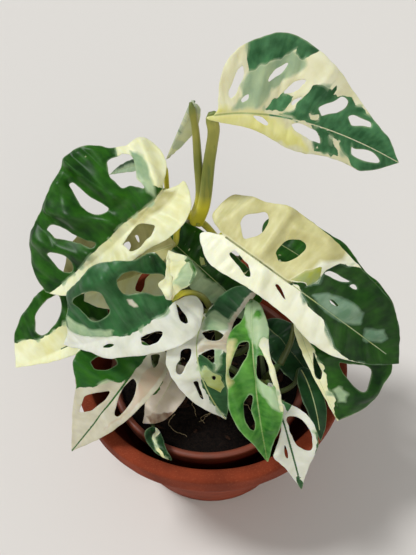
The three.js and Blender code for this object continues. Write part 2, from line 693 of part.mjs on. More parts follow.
function flatTriangles(leaf, length) {
  const left = edgePoints(leaf.left, 1, length);
  const right = edgePoints(leaf.right, -1, length);
  const outer = [...left, ...right.reverse().slice(1, -1)];
  let rings = [outer, ...leaf.holes.map(holePoints)];
  const rowStep = BLADE_GRID * GRID_ROW_SHARE;
  const [lengths, widths] = [0, 1].map((axis) => outer.map((point) => point[axis]));
  const [firstRow, lastRow] = [Math.min, Math.max].map((pick) => Math.round(pick(...widths) / rowStep));
  const [first, last] = [Math.min, Math.max].map((pick) => Math.round(pick(...lengths) / BLADE_GRID));
  const inner = [];
  for (let row = firstRow; row <= lastRow; row += 1) {
    const shift = row % 2 === 0 ? 0 : 0.5;
    for (let column = first; column <= last; column += 1) {
      const point = [(column + shift) * BLADE_GRID, row * rowStep];
      const clear = rings.flat().every(([x, y]) => {
        return Math.hypot(x - point[0], y - point[1]) > BLADE_GRID * GRID_CLEAR_SHARE;
      });
      const inBlade = isInside(outer, point) && !rings.slice(1).some((ring) => isInside(ring, point));
      if (clear && inBlade) inner.push(point);
    }
  }
  let points = [];
  let triangles = [];
  for (let round = 0; round < SPLIT_ROUNDS; round += 1) {
    points = [...rings.flat(), ...inner];
    triangles = delaunay(points);
    const before = rings.flat().length;
    rings = rings.map((ring) => splitMissing(ring, points, triangles));
    if (rings.flat().length === before) break;
  }
  const kept = triangles.filter((corners) => {
    const middle = [0, 1].map((axis) => corners.reduce((sum, corner) => sum + points[corner][axis], 0) / 3);
    return isInside(rings[0], middle) && !rings.slice(1).some((ring) => isInside(ring, middle));
  });
  return { points, kept };
}

// Two faces with the same triangles, and a wall along every edge that only one triangle has
function leafGeometry(leaf) {
  const surface = bladeSurface(leaf);
  const { points, kept } = flatTriangles(leaf, surface.length);
  const count = points.length;
  const positions = [];
  for (const sign of [1, -1]) {
    for (const [x, y] of points) {
      const spot = surface.spot(x, y).addScaledVector(surface.normalAt(x, y), (sign * BLADE_THICKNESS) / 2);
      positions.push(spot.x, spot.y, spot.z);
    }
  }
  const faces = [];
  const edges = new Map();
  for (const [a, b, c] of kept) {
    const [[ax, ay], [bx, by], [cx, cy]] = [points[a], points[b], points[c]];
    const turn = (bx - ax) * (cy - ay) - (by - ay) * (cx - ax);
    const corners = turn > 0 ? [a, b, c] : [a, c, b];
    faces.push(...corners, count + corners[0], count + corners[2], count + corners[1]);
    corners.forEach((corner, k) => {
      const next = corners[(k + 1) % 3];
      const back = next + "," + corner;
      if (edges.has(back)) edges.delete(back);
      else edges.set(corner + "," + next, [corner, next]);
    });
  }
  for (const [a, b] of edges.values()) faces.push(a, count + a, count + b, a, count + b, b);
  const geometry = new THREE.BufferGeometry();
  geometry.setAttribute("position", new THREE.Float32BufferAttribute(positions, 3));
  geometry.setIndex(faces);
  geometry.computeVertexNormals();
  return geometry;
}

// The end of a stalk lies a small gap under its leaf's base
function stalkEnd(leaf, lastPoint, radius) {
  const surface = bladeSurface(leaf);
  const base = surface.spot(0, 0);
  const normal = surface.normalAt(0, 0);
  const arrival = base.clone().sub(lastPoint).normalize();
  const slant = Math.sqrt(Math.max(0, 1 - arrival.dot(normal) ** 2));
  return base.addScaledVector(normal, -(BLADE_THICKNESS / 2 + SEAT_GAP + 0.1 + radius * slant));
}

function stemGeometry(stem) {
  const [footX, footY] = stem.foot;
  const ground = [STEM_FOOT, SOIL_TOP - 5, SOIL_TOP + 4].map((height) => [footX, footY, height]);
  const trunkPoints = [...ground, ...stem.trunk];
  const trunk = trunkPoints.map((point) => new THREE.Vector3(...point));
  let solid = toSolid(taperedTube(trunk, stem.radii, STEM_SIDES));
  for (const [name, stalk] of Object.entries(stem.stalks)) {
    const route = stalk.route.map((point) => new THREE.Vector3(...point));
    const end = stalkEnd(LEAVES[name], route.at(-1), stalk.radii[1]);
    solid = solid.add(toSolid(taperedTube([...route, end], stalk.radii, STEM_SIDES)));
  }
  return toGeometry(solid);
}

const group = new THREE.Group();
group.add(coverPot(), nurseryPot(), soil());
for (const [name, stem] of Object.entries(STEMS)) {
  group.add(finish(name, stemGeometry(stem), STEM_OLIVE, 0.5));
}
for (const [name, leaf] of Object.entries(LEAVES)) {
  group.add(finish(name, leafGeometry(leaf), leaf.colour, 0.4));
}

export default group;
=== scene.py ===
"""The looks of a variegated monstera in a terracotta pot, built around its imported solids.

The plant's own numbers are millimetres, and every mesh is written in metres. +Z is up and -Y is the front.
"""

import logging
import math
from collections.abc import Sequence
from dataclasses import dataclass, field
from enum import Enum
from functools import reduce
from typing import Any

import bpy
import numpy as np
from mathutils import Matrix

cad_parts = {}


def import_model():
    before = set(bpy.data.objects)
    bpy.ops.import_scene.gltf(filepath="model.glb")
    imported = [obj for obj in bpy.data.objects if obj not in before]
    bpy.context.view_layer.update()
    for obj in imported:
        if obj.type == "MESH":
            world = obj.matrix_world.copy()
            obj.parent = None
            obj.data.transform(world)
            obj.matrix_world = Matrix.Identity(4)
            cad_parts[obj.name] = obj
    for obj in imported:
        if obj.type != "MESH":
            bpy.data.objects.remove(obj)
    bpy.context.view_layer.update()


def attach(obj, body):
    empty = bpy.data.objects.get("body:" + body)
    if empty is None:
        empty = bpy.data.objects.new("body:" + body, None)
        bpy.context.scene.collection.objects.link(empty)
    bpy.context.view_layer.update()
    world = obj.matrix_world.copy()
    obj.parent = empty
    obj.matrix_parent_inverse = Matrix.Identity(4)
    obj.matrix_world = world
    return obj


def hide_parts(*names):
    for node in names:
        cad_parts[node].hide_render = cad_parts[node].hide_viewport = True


LOG = logging.getLogger("potted_monstera")
MM = 0.001
TURN = 2 * math.pi
BODY = "root"

# A random pattern has this many numbers each way, and then repeats
LATTICE = 64
# Stand-ins for an endless distance and for nought in a division
FAR = 1e9
TINY = 1e-9

Point = tuple[float, ...]
Ring = tuple[Point, ...]
Array = np.ndarray
Socket = bpy.types.NodeSocket
Tree = bpy.types.NodeTree


class Tissue(Enum):
    """The kinds of tissue that a variegated blade is made of, each with its own colour, and an olive cream wash of
    painted shade.
    """

    CREAM = "cream"
    MINT = "mint"
    GREEN = "green"
    LIME = "lime"
    TAN = "tan"
    # Not a tissue: an olive cream wash of painted shade, where cream lies in shade near midribs and under other
    # leaves
    BUFF = "buff"


# How far the edge of a tissue fades, in mm
SOFTNESS: dict[Tissue, float] = {Tissue.MINT: 1.1, Tissue.BUFF: 1.6, Tissue.TAN: 0.6}
CRISP = 0.15


def linear(code: str) -> tuple[float, float, float, float]:
    """Turn an sRGB hex value into the linear colour that Blender's sockets take.

    Args:
        code: A colour such as "#a9553a".

    Returns:
        Red, green, blue and alpha.
    """
    share = np.array([int(code[i : i + 2], 16) for i in (1, 3, 5)]) / 255
    flat = np.where(share <= 0.04045, share / 12.92, ((share + 0.055) / 1.055) ** 2.4)
    return (float(flat[0]), float(flat[1]), float(flat[2]), 1.0)


def add_node(
    tree: Tree,
    kind: str,
    inputs: dict[int | str, Any] | tuple[Any, ...] = (),
    output: int | str = 0,
    **settings: Any,
) -> Socket | None:
    """Add a node with its settings and its links.

    Args:
        tree: The node tree that takes it.
        kind: The node's type, without the ShaderNode that each starts with.
        inputs: A value, an sRGB hex value or a socket to link from, for each input by its name or in their order.
        output: Which output to give.
        **settings: The node's properties.

    Returns:
        The output, which an output node doesn't have.
    """
    node = tree.nodes.new("ShaderNode" + kind)
    for name, value in settings.items():
        setattr(node, name, value)
    for key, value in inputs.items() if isinstance(inputs, dict) else enumerate(inputs):
        if isinstance(value, Socket):
            tree.links.new(value, node.inputs[key])
        else:
            node.inputs[key].default_value = linear(value) if isinstance(value, str) else value
    return node.outputs[output] if node.outputs else None


def lay_tones(tree: Tree, colour: Socket | str, *layers: tuple[Socket, Point, Socket | str]) -> Socket:
    """Lay tones over a ground colour, each by how far its pattern has come through a span.

    Args:
        tree: The material's node tree.
        colour: The ground colour.
        *layers: The pattern of each tone, its span with the shares at both ends where they aren't 0 and 1, and
            the tone.

    Returns:
        The colour with every tone on it.
    """
    for pattern, span, tone in layers:
        share = add_node(tree, "MapRange", (pattern, *span))
        colour = add_node(tree, "Mix", {0: share, 6: colour, 7: tone}, 2, data_type="RGBA")
    return colour


def new_material(name: str) -> tuple[bpy.types.Material, Tree]:
    """Make an empty node material.

    Args:
        name: The material's name.

    Returns:
        The material and its node tree.
    """
    material = bpy.data.materials.new(name)
    material.use_nodes = True
    material.node_tree.nodes.clear()
    return material, material.node_tree


@dataclass(frozen=True)
class FiredClay:
    """Terracotta: unglazed clay, thrown and fired once. Matt and warm, with fine grit and paler dry bloom."""

    name: str = "fired_terracotta"
    clay: str = "#8c3a1e"
    deep: str = "#6c2912"
    bloom: str = "#ad623d"
    cloud_mm: float = 22.0
    cloud_span: Point = (0.35, 0.68)
    # Real grit is half as wide, too fine to show in the picture
    grit_mm: float = 0.8
    grit_depth_mm: float = 0.25
    relief: float = 0.5
    bloom_span: Point = (0.55, 0.75)
    bloom_share: float = 0.4
    # Small pits get dark spots of painted shade, with no relief of their own
    pit_gap_mm: float = 2.4
    pit_span: Point = (0.1, 0.2)
    pit_shade_share: float = 0.5
    roughness: float = 0.82
    specular: float = 0.2

    def material(self) -> bpy.types.Material:
        """Build the nodes: clouds of the firing, dry bloom on the grit and painted shade in small pits."""
        material, tree = new_material(self.name)
        place = add_node(tree, "TexCoord", output="Object")
        grit = add_node(tree, "TexNoise", {"Vector": place, "Scale": 1 / (self.grit_mm * MM), "Detail": 3})
        clouds = add_node(tree, "TexNoise", {"Vector": place, "Scale": 1 / (self.cloud_mm * MM), "Detail": 5})
        pits = add_node(tree, "TexVoronoi", {"Vector": place, "Scale": 1 / (self.pit_gap_mm * MM)})
        colour = lay_tones(
            tree, self.deep, (clouds, self.cloud_span, self.clay),
            (grit, (*self.bloom_span, 0, self.bloom_share), self.bloom),
            # Painted shade in the pits
            (pits, (*self.pit_span, self.pit_shade_share, 0), self.deep),
        )
        bump = {"Strength": self.relief, "Distance": self.grit_depth_mm * MM, "Height": grit}
        skin = {"Base Color": colour, "Roughness": self.roughness, "Specular IOR Level": self.specular}
        skin["Normal"] = add_node(tree, "Bump", bump)
        add_node(tree, "OutputMaterial", (add_node(tree, "BsdfPrincipled", skin),))
        return material


@dataclass(frozen=True)
class MouldedPlastic:
    """Polypropylene: injection moulded and dyed through. Smooth and faintly glossy, dusty where soil touched it."""

    name: str = "moulded_polypropylene"
    dye: str = "#7d3e2a"
    dust: str = "#5a3728"
    dust_mm: float = 9.0
    dust_span: Point = (0.45, 0.7)
    dust_share: float = 0.7
    dull_span: Point = (0.3, 0.7)
    roughness: Point = (0.38, 0.62)
    ior: float = 1.49

    def material(self) -> bpy.types.Material:
        """Build the nodes: the dye, and dust that dulls it."""
        material, tree = new_material(self.name)
        place = add_node(tree, "TexCoord", output="Object")
        dust = add_node(tree, "TexNoise", {"Vector": place, "Scale": 1 / (self.dust_mm * MM), "Detail": 6})
        colour = lay_tones(tree, self.dye, (dust, (*self.dust_span, 0, self.dust_share), self.dust))
        dull = add_node(tree, "MapRange", (dust, *self.dull_span, *self.roughness))
        skin = {"Base Color": colour, "Roughness": dull, "IOR": self.ior}
        add_node(tree, "OutputMaterial", (add_node(tree, "BsdfPrincipled", skin),))
        return material


@dataclass(frozen=True)
class LooseGround:
    """Potting mix, bark or root: rotted or dried plant matter. Dull and crumbly, lighter where its relief stands
    high.
    """

    name: str
    dark: str
    light: str
    grain_mm: float
    roughness: float = 0.9
    crumble: float = 0.7
    crest_span: Point = (0.42, 0.72)
    depth_share: float = 0.6
    specular: float = 0.15

    def material(self) -> bpy.types.Material:
        """Build the nodes: one crumbly pattern for both the tone and the relief."""
        material, tree = new_material(self.name)
        pattern = {"Scale": 1 / (self.grain_mm * MM), "Detail": 6, "Roughness": self.crumble}
        pattern["Vector"] = add_node(tree, "TexCoord", output="Object")
        grain = add_node(tree, "TexNoise", pattern)
        # Lighter where the pattern that makes the relief stands high
        colour = lay_tones(tree, self.dark, (grain, self.crest_span, self.light))
        bump = {"Strength": 1.0, "Distance": self.depth_share * self.grain_mm * MM, "Height": grain}
        skin = {"Base Color": colour, "Roughness": self.roughness, "Specular IOR Level": self.specular}
        skin["Normal"] = add_node(tree, "Bump", bump)
        add_node(tree, "OutputMaterial", (add_node(tree, "BsdfPrincipled", skin),))
        return material


@dataclass(frozen=True)
class StalkSkin:
    """Aroid stalk: smooth fleshy skin under thin wax. Olive, yellow at the node, with dark streaks and knees, and
    painted shade that darkens it low down under the leaves.
    """

    name: str = "fleshy_stalk"
    olive: str = "#7b8136"
    yellow: str = "#9f9c48"
    cloud_mm: float = 25.0
    cloud_span: Point = (0.4, 0.62)
    streak: str = "#35602f"
    streak_mm: float = 2.2
    streak_stretch: float = 14.0
    streak_span: Point = (0.6, 0.72)
    streak_share: float = 0.45
    node: str = "#e0d63c"
    node_height: float = 180.0
    node_span: Point = (10, 20)
    node_share: float = 0.95
    # Painted shade: the stalks turn to this colour low in the plant, under the leaves
    low: str = "#414c22"
    low_shade_span: Point = (125, 165)
    knee_span: Point = (3.6, 9)
    knee_share: float = 0.55
    relief: float = 0.3
    relief_mm: float = 0.15
    roughness: float = 0.42
    ior: float = 1.42

    def material(self) -> bpy.types.Material:
        """Build the nodes: two ground tones, streaks, the yellow node, painted shade on the lower stalks and the
        knees.
        """
        material, tree = new_material(self.name)
        place = add_node(tree, "TexCoord", output="Object")
        height = add_node(tree, "SeparateXYZ", (place,), 2)
        fine = 1 / (self.streak_mm * MM)
        stretched = add_node(tree, "Mapping", {"Vector": place, "Scale": (fine, fine, fine / self.streak_stretch)})
        streaks = add_node(tree, "TexNoise", {"Vector": stretched, "Scale": 1, "Detail": 4})
        clouds = add_node(tree, "TexNoise", {"Vector": place, "Scale": 1 / (self.cloud_mm * MM), "Detail": 2})
        above = add_node(tree, "Math", (height, self.node_height * MM), operation="SUBTRACT")
        away = add_node(tree, "Math", (above,), operation="ABSOLUTE")
        left = add_node(tree, "Attribute", output="Fac", attribute_name="left")
        near, far, bottom, top = (value * MM for value in (*self.node_span, *self.low_shade_span))
        colour = lay_tones(
            tree, self.olive, (clouds, self.cloud_span, self.yellow),
            (streaks, (*self.streak_span, 0, self.streak_share), self.streak),
            (away, (near, far, self.node_share, 0), self.node),
            # Painted shade, full below the lower height and gone above the upper
            (height, (bottom, top, 1, 0), self.low),
            (left, (*self.knee_span, self.knee_share, 0), self.streak),
        )
        bump = {"Strength": self.relief, "Distance": self.relief_mm * MM, "Height": streaks}
        skin = {"Base Color": colour, "Roughness": self.roughness, "IOR": self.ior}
        skin["Normal"] = add_node(tree, "Bump", bump)
        add_node(tree, "OutputMaterial", (add_node(tree, "BsdfPrincipled", skin),))
        return material


@dataclass(frozen=True)
class LeafSkin:
    """Aroid leaf: thin green and albino tissue under a waxy cuticle. Satin gloss, colours in torn sectors."""

    name: str
    cream: str = "#eef0cc"
    cream_shade: str = "#dfdc9d"
    green: str = "#0c3207"
    green_light: str = "#2f6a10"
    mint: str = "#88a67f"
    mint_light: str = "#b9ca9f"
    lime: str = "#a5ad45"
    tan: str = "#bba27e"
    # The two tones of the painted shade on cream
    buff: str = "#aaa66a"
    painted_shade_light: str = "#d0cb92"
    under_share: float = 0.4
    cloud_mm: float = 13.0
    streak_mm: float = 2.2
    streak_share: float = 0.45
    tone_span: Point = (0.52, 1.02)
    # Real cells are far finer, so this is as coarse as the fray of a colour's edge needs to show
    pore_mm: float = 0.5
    fray_mm: float = 0.5
    fade_share: float = 0.6
    relief: float = 0.35
    relief_mm: float = 0.08
    roughness: float = 0.4
    ior: float = 1.45
    specular: float = 0.25
    glow: float = 0.3
    glow_mm: float = 1.2
    glow_reach: Point = (1.0, 0.8, 0.3)

    def material(self) -> bpy.types.Material:
        """Build the nodes: a mottled tone, then each tissue where its depth passes nought, paler underneath."""
        material, tree = new_material(self.name)
        flat = add_node(tree, "Attribute", output="Vector", attribute_name="flat")
        grain = add_node(tree, "Attribute", output="Vector", attribute_name="grain")
        streaks = add_node(tree, "TexNoise", {"Vector": grain, "Scale": 1 / self.streak_mm, "Detail": 4})
        clouds = add_node(tree, "TexNoise", {"Vector": flat, "Scale": 1 / self.cloud_mm, "Detail": 3})
        pores = add_node(tree, "TexNoise", {"Vector": flat, "Scale": 1 / self.pore_mm, "Detail": 2})
        fray = add_node(tree, "Math", (pores, self.fray_mm, -self.fray_mm / 2), operation="MULTIPLY_ADD")
        mottle = add_node(tree, "Math", (streaks, self.streak_share, clouds), operation="MULTIPLY_ADD")
        colour = lay_tones(tree, self.cream, (mottle, self.tone_span, self.cream_shade))
        for tissue, (dark, light) in self.tissues().items():
            blur = SOFTNESS.get(tissue, CRISP)
            inside = add_node(tree, "Attribute", output="Fac", attribute_name=tissue.value)
            depth = add_node(tree, "Math", (inside, fray), operation="ADD")
            tone = lay_tones(tree, dark, (mottle, self.tone_span, light))
            colour = lay_tones(tree, colour, (depth, (-blur, self.fade_share * blur), tone))
        under = add_node(tree, "Attribute", output="Fac", attribute_name="under")
        colour = lay_tones(tree, colour, (under, (0, 1, 0, self.under_share), self.mint))
        bump = {"Strength": self.relief, "Distance": self.relief_mm * MM, "Height": mottle}
        skin = {
            "Base Color": colour, "Roughness": self.roughness, "IOR": self.ior, "Specular IOR Level": self.specular,
            "Subsurface Weight": self.glow, "Subsurface Radius": self.glow_reach,
            "Subsurface Scale": self.glow_mm * MM, "Normal": add_node(tree, "Bump", bump),
        }
        add_node(tree, "OutputMaterial", (add_node(tree, "BsdfPrincipled", skin),))
        return material

    def tissues(self) -> dict[Tissue, tuple[str, str]]:
        """Give the two tones of each tissue, and of the painted shade, laid over the cream, in order."""
        return {
            Tissue.GREEN: (self.green, self.green_light),
            Tissue.LIME: (self.lime, self.mint_light),
            # Painted shade, an olive cream wash
            Tissue.BUFF: (self.buff, self.painted_shade_light),
            Tissue.MINT: (self.mint, self.mint_light),
            Tissue.TAN: (self.tan, self.cream_shade),
        }


FRESH = LeafSkin("leaf_fresh_cream")
CROWN = LeafSkin(
    "leaf_crown_cream", cream="#efeece", cream_shade="#d8d4a6", green="#24582f", green_light="#5f9d68",
    mint="#93ac8a", buff="#e0dd84", painted_shade_light="#f0edac",
)
COOL = LeafSkin(
    "leaf_cool_white", cream="#e6e7da", cream_shade="#cfd2bd", green="#163f1a", green_light="#3c7440", tan="#c3b096"
)
PALE = LeafSkin("leaf_dull_white", cream="#cac6b0", cream_shade="#b3ad93", tan="#bfa88f", green="#1b4a20")
BRIGHT = LeafSkin("leaf_bright_green", green="#1f5f18", green_light="#6aa844", cream="#e2e3cf", mint="#a5c296")
# Its mint is part mint tissue and part painted sheen: the grey gloss on dark green
MINT_AND_SHEEN = LeafSkin(
    "leaf_mint_and_painted_sheen", cream="#f5f6de", cream_shade="#e6e5c0", green="#0c2d08", green_light="#28580f",
    mint="#5f8263", mint_light="#93aa92", buff="#bfba80", painted_shade_light="#dbd7a2",
)
PINK = LeafSkin("leaf_aged_pink", cream="#d8cdbd", cream_shade="#c4b7a0", tan="#6b4a33")
SHADED = LeafSkin("leaf_shaded_green", green="#0c2a10", green_light="#214b22", mint="#6f8f6c", lime="#8f8e3e")
YOUNG = LeafSkin("leaf_young_pale", mint="#aebc9b", mint_light="#d2d8bc", green="#2c5a2c")


def soft_noise(x: Array, y: Array, size: float, seed: int) -> Array:
    """Smooth random numbers from -1 to 1 over a plane.

    Formula: seeded numbers on a square lattice of the given pitch, blended by s*s*(3 - 2*s).

    Args:
        x: First coordinates.
        y: Second coordinates.
        size: Pitch of the lattice, in the unit of x and y.
        seed: Which lattice.

    Returns:
        One number for each point.
    """
    lattice = np.random.default_rng(seed).uniform(-1, 1, (LATTICE, LATTICE))
    column, row = np.floor(x / size), np.floor(y / size)
    u, v = x / size - column, y / size - row
    u, v = u * u * (3 - 2 * u), v * v * (3 - 2 * v)
    i, j = column.astype(int) % LATTICE, row.astype(int) % LATTICE
    i_next, j_next = (i + 1) % LATTICE, (j + 1) % LATTICE
    low = lattice[i, j] * (1 - u) + lattice[i_next, j] * u
    high = lattice[i, j_next] * (1 - u) + lattice[i_next, j_next] * u
    return low * (1 - v) + high * v


def smooth_line(points: Sequence[Point], steps: int) -> Array:
    """Points of a smooth line through the given ones.

    Formula: a centripetal Catmull-Rom line, where each stretch is a cubic whose knots are apart by the
    square root of the distance, and each end has a mirrored neighbour.

    Args:
        points: The points it goes through, in two or three dimensions.
        steps: How many parts each stretch is cut into.

    Returns:
        The points, one row each.
    """
    p = np.asarray(points, float)
    p = np.vstack([2 * p[0] - p[1], p, 2 * p[-1] - p[-2]])
    gap = np.sqrt(np.linalg.norm(np.diff(p, axis=0), axis=1))[:, None]
    before, here, after = gap[:-2], gap[1:-1], gap[2:]
    a, b, c, d = p[:-3], p[1:-2], p[2:-1], p[3:]
    leave = ((b - a) / before - (c - a) / (before + here) + (c - b) / here) * here
    arrive = ((c - b) / here - (d - b) / (here + after) + (d - c) / after) * here
    s = np.linspace(0, 1, steps, endpoint=False)[None, :, None]
    b, c, leave, arrive = (value[:, None, :] for value in (b, c, leave, arrive))
    square = 3 * c - 3 * b - 2 * leave - arrive
    cube = 2 * b - 2 * c + leave + arrive
    return np.vstack([(b + leave * s + square * s**2 + cube * s**3).reshape(-1, p.shape[1]), p[-2]])


def length_along(line: Array) -> Array:
    """Measure how far along a line each of its points lies."""
    return np.concatenate([[0], np.cumsum(np.linalg.norm(np.diff(line, axis=0), axis=1))])


def even_line(points: Array, step: float) -> Array:
    """The same line with its points an even distance apart.

    Formula: each coordinate is read off at equal shares of the length along the line.

    Args:
        points: The line's points.
        step: The distance wanted.

    Returns:
        The new points, four at least, with the two ends kept.
    """
    along = length_along(points)
    places = np.linspace(0, along[-1], max(4, int(round(along[-1] / step)) + 1))
    return np.stack([np.interp(places, along, column) for column in points.T], axis=1)


def ring_distance(x: Array, y: Array, ring: Array) -> Array:
    """How far each point lies inside a closed ring.

    Formula: the distance to the nearest edge, plus inside and minus outside, where inside means that a
    ray crosses the ring an odd number of times.

    Args:
        x: First coordinates.
        y: Second coordinates.
        ring: The ring's corners, one row each.

    Returns:
        One signed distance for each point.
    """
    nearest = np.full(x.shape, FAR)
    inside = np.zeros(x.shape, bool)
    for (ax, ay), (bx, by) in zip(ring, np.roll(ring, -1, axis=0)):
        ex, ey = bx - ax, by - ay
        share = np.clip(((x - ax) * ex + (y - ay) * ey) / max(ex * ex + ey * ey, TINY), 0, 1)
        nearest = np.minimum(nearest, (x - ax - share * ex) ** 2 + (y - ay - share * ey) ** 2)
        if ay != by:
            inside ^= ((ay > y) != (by > y)) & (x < ex * (y - ay) / ey + ax)
    return np.where(inside, 1, -1) * np.sqrt(nearest)


@dataclass
class Surface:
    """A mesh as arrays: its corners in mm, its faces by their number of corners, and its attributes."""

    corners: Array
    faces: list[Array]
    values: dict[str, Array] = field(default_factory=dict)

    def join(self, other: "Surface") -> "Surface":
        """Put another surface's corners and faces after these."""
        shifted = [face + len(self.corners) for face in other.faces]
        values = {name: np.concatenate([value, other.values[name]]) for name, value in self.values.items()}
        return Surface(np.vstack([self.corners, other.corners]), self.faces + shifted, values)

    def push_out(self, amount: Array) -> None:
        """Move each corner away from the upright axis by its own amount."""
        away = np.maximum(np.hypot(*self.corners[:, :2].T), 1)
        self.corners[:, :2] *= (1 + amount / away)[:, None]

    def piece(self, name: str, material: bpy.types.Material, slot: str, *nodes: str) -> bpy.types.Object:
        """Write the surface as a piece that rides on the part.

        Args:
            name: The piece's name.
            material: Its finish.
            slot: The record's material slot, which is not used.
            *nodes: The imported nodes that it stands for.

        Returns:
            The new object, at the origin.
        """
        mesh = bpy.data.meshes.new(name)
        counts = np.concatenate([np.full(len(face), face.shape[1]) for face in self.faces])
        loops = np.concatenate([face.ravel() for face in self.faces]).astype(np.int32)
        mesh.vertices.add(len(self.corners))
        mesh.vertices.foreach_set("co", (self.corners * MM).astype(np.float32).ravel())
        mesh.loops.add(len(loops))
        mesh.loops.foreach_set("vertex_index", loops)
        mesh.polygons.add(len(counts))
        starts = np.concatenate([[0], np.cumsum(counts)[:-1]]).astype(np.int32)
        mesh.polygons.foreach_set("loop_start", starts)
        mesh.polygons.foreach_set("use_smooth", np.ones(len(counts), bool))
        for key, value in self.values.items():
            kind, part = ("FLOAT_VECTOR", "vector") if value.ndim == 2 else ("FLOAT", "value")
            mesh.attributes.new(key, kind, "POINT").data.foreach_set(part, value.astype(np.float32).ravel())
        mesh.update(calc_edges=True)
        mesh.validate()
        mesh.materials.append(material)
        piece = bpy.data.objects.new(name, mesh)
        bpy.context.scene.collection.objects.link(piece)
        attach(piece, BODY)
        if nodes:
            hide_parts(*nodes)
        return piece


def spin(x: Array, y: Array, angle: Array) -> tuple[Array, Array]:
    """Turn each row of points about the origin by its own angle."""
    cosine, sine = np.cos(angle)[:, None], np.sin(angle)[:, None]
    return x * cosine - y * sine, x * sine + y * cosine


def grid_faces(rows: int, columns: int, closed: bool) -> Array:
    """Four-cornered faces of a grid whose columns close into rings.

    Args:
        rows: Rings in the grid.
        columns: Corners in a ring.
        closed: Whether the last ring joins the first one.

    Returns:
        The faces, whose outside is where the ring's turn and the rows' order make a right hand.
    """
    row = np.arange(rows if closed else rows - 1)[:, None]
    column = np.arange(columns)[None, :]
    here, beside = row * columns + column, row * columns + (column + 1) % columns
    above = (row + 1) % rows * columns
    return np.stack([here, beside, above + (column + 1) % columns, above + column], -1).reshape(-1, 4)


def capped(corners: Array, rows: int, columns: int) -> Surface:
    """Close a tube of rings with a fan at each end.

    Args:
        corners: The rings' corners, ring by ring.
        rows: How many rings there are.
        columns: Corners in a ring.

    Returns:
        The closed surface, with the two fan centres last.
    """
    first, last = corners[:columns].mean(0), corners[-columns:].mean(0)
    ring = np.arange(columns)
    beside = (ring + 1) % columns
    start, end = np.full(columns, rows * columns), np.full(columns, rows * columns + 1)
    top = (rows - 1) * columns
    fans = np.concatenate([np.stack([start, beside, ring], 1), np.stack([end, top + ring, top + beside], 1)])
    return Surface(np.vstack([corners, first, last]), [grid_faces(rows, columns, False), fans])


def lathe(profile: Array, sides: int, closed: bool) -> Surface:
    """Turn a profile about the upright axis.

    Formula: x = r cos(a), y = r sin(a), z = h for each profile point (r, h) and each angle a.

    Args:
        profile: Radius and height of each point, going up the outside.
        sides: Corners in a ring.
        closed: Whether the profile closes on itself and doesn't end on the axis.

    Returns:
        The turned surface, in mm.
    """
    angle = np.linspace(0, TURN, sides, endpoint=False)
    radius, height = profile[:, :1], profile[:, 1:]
    corners = np.stack([radius * np.cos(angle), radius * np.sin(angle), height + 0 * angle], -1).reshape(-1, 3)
    if closed:
        return Surface(corners, [grid_faces(len(profile), sides, True)])
    return capped(corners, len(profile), sides)


def tube(line: Array, radius: Array, sides: int, groove: float = 0.0, groove_turn: float = 0.5) -> Surface:
    """Carry a round profile along a line.

    Formula: at each point, centre + r (cos(a) across + sin(a) up), where across is square to the line
    and r is cut in by a groove on one side.

    Args:
        line: The middle of the tube, in mm.
        radius: The radius at each point.
        sides: Corners in a ring.
        groove: Depth of the groove, as a share of the radius.
        groove_turn: Half the groove's width, in radians.

    Returns:
        The closed tube, with the distance left to its far end as its attribute.
    """
    tangent = np.gradient(line, axis=0)
    tangent /= np.linalg.norm(tangent, axis=1, keepdims=True)
    guide = np.eye(3)[np.argmin(np.abs(tangent).max(0))]
    across = guide - tangent * (tangent @ guide)[:, None]
    across /= np.linalg.norm(across, axis=1, keepdims=True)
    up = np.cross(tangent, across)
    angle = np.linspace(0, TURN, sides, endpoint=False)
    reach = radius[:, None] * (1 - groove * np.exp(-(((angle - math.pi) / groove_turn) ** 2)))
    corners = line[:, None] + (reach * np.cos(angle))[..., None] * across[:, None]
    corners = corners + (reach * np.sin(angle))[..., None] * up[:, None]
    made = capped(corners.reshape(-1, 3), len(line), sides)
    along = length_along(line)
    left = np.repeat(along[-1] - along, sides)
    made.values["left"] = np.concatenate([left, left[:1], left[-1:]])
    return made


# A grid cell's corners are a, b, c, d round it from the lower left, worth 1, 2, 4 and 8 where they lie in the
# blade, and ab is where the blade's edge crosses the side from a to b
CELLS: dict[int, tuple[str, ...]] = {
    1: ("a ab da",), 2: ("b bc ab",), 3: ("a b bc da",), 4: ("c cd bc",), 5: ("a ab da", "c cd bc"),
    6: ("b c cd ab",), 7: ("a b c cd da",), 8: ("d da cd",), 9: ("a ab cd d",), 10: ("b bc ab", "d da cd"),
    11: ("a b bc cd d",), 12: ("c d da bc",), 13: ("a ab bc c d",), 14: ("b c d da ab",), 15: ("a b c d",),
}


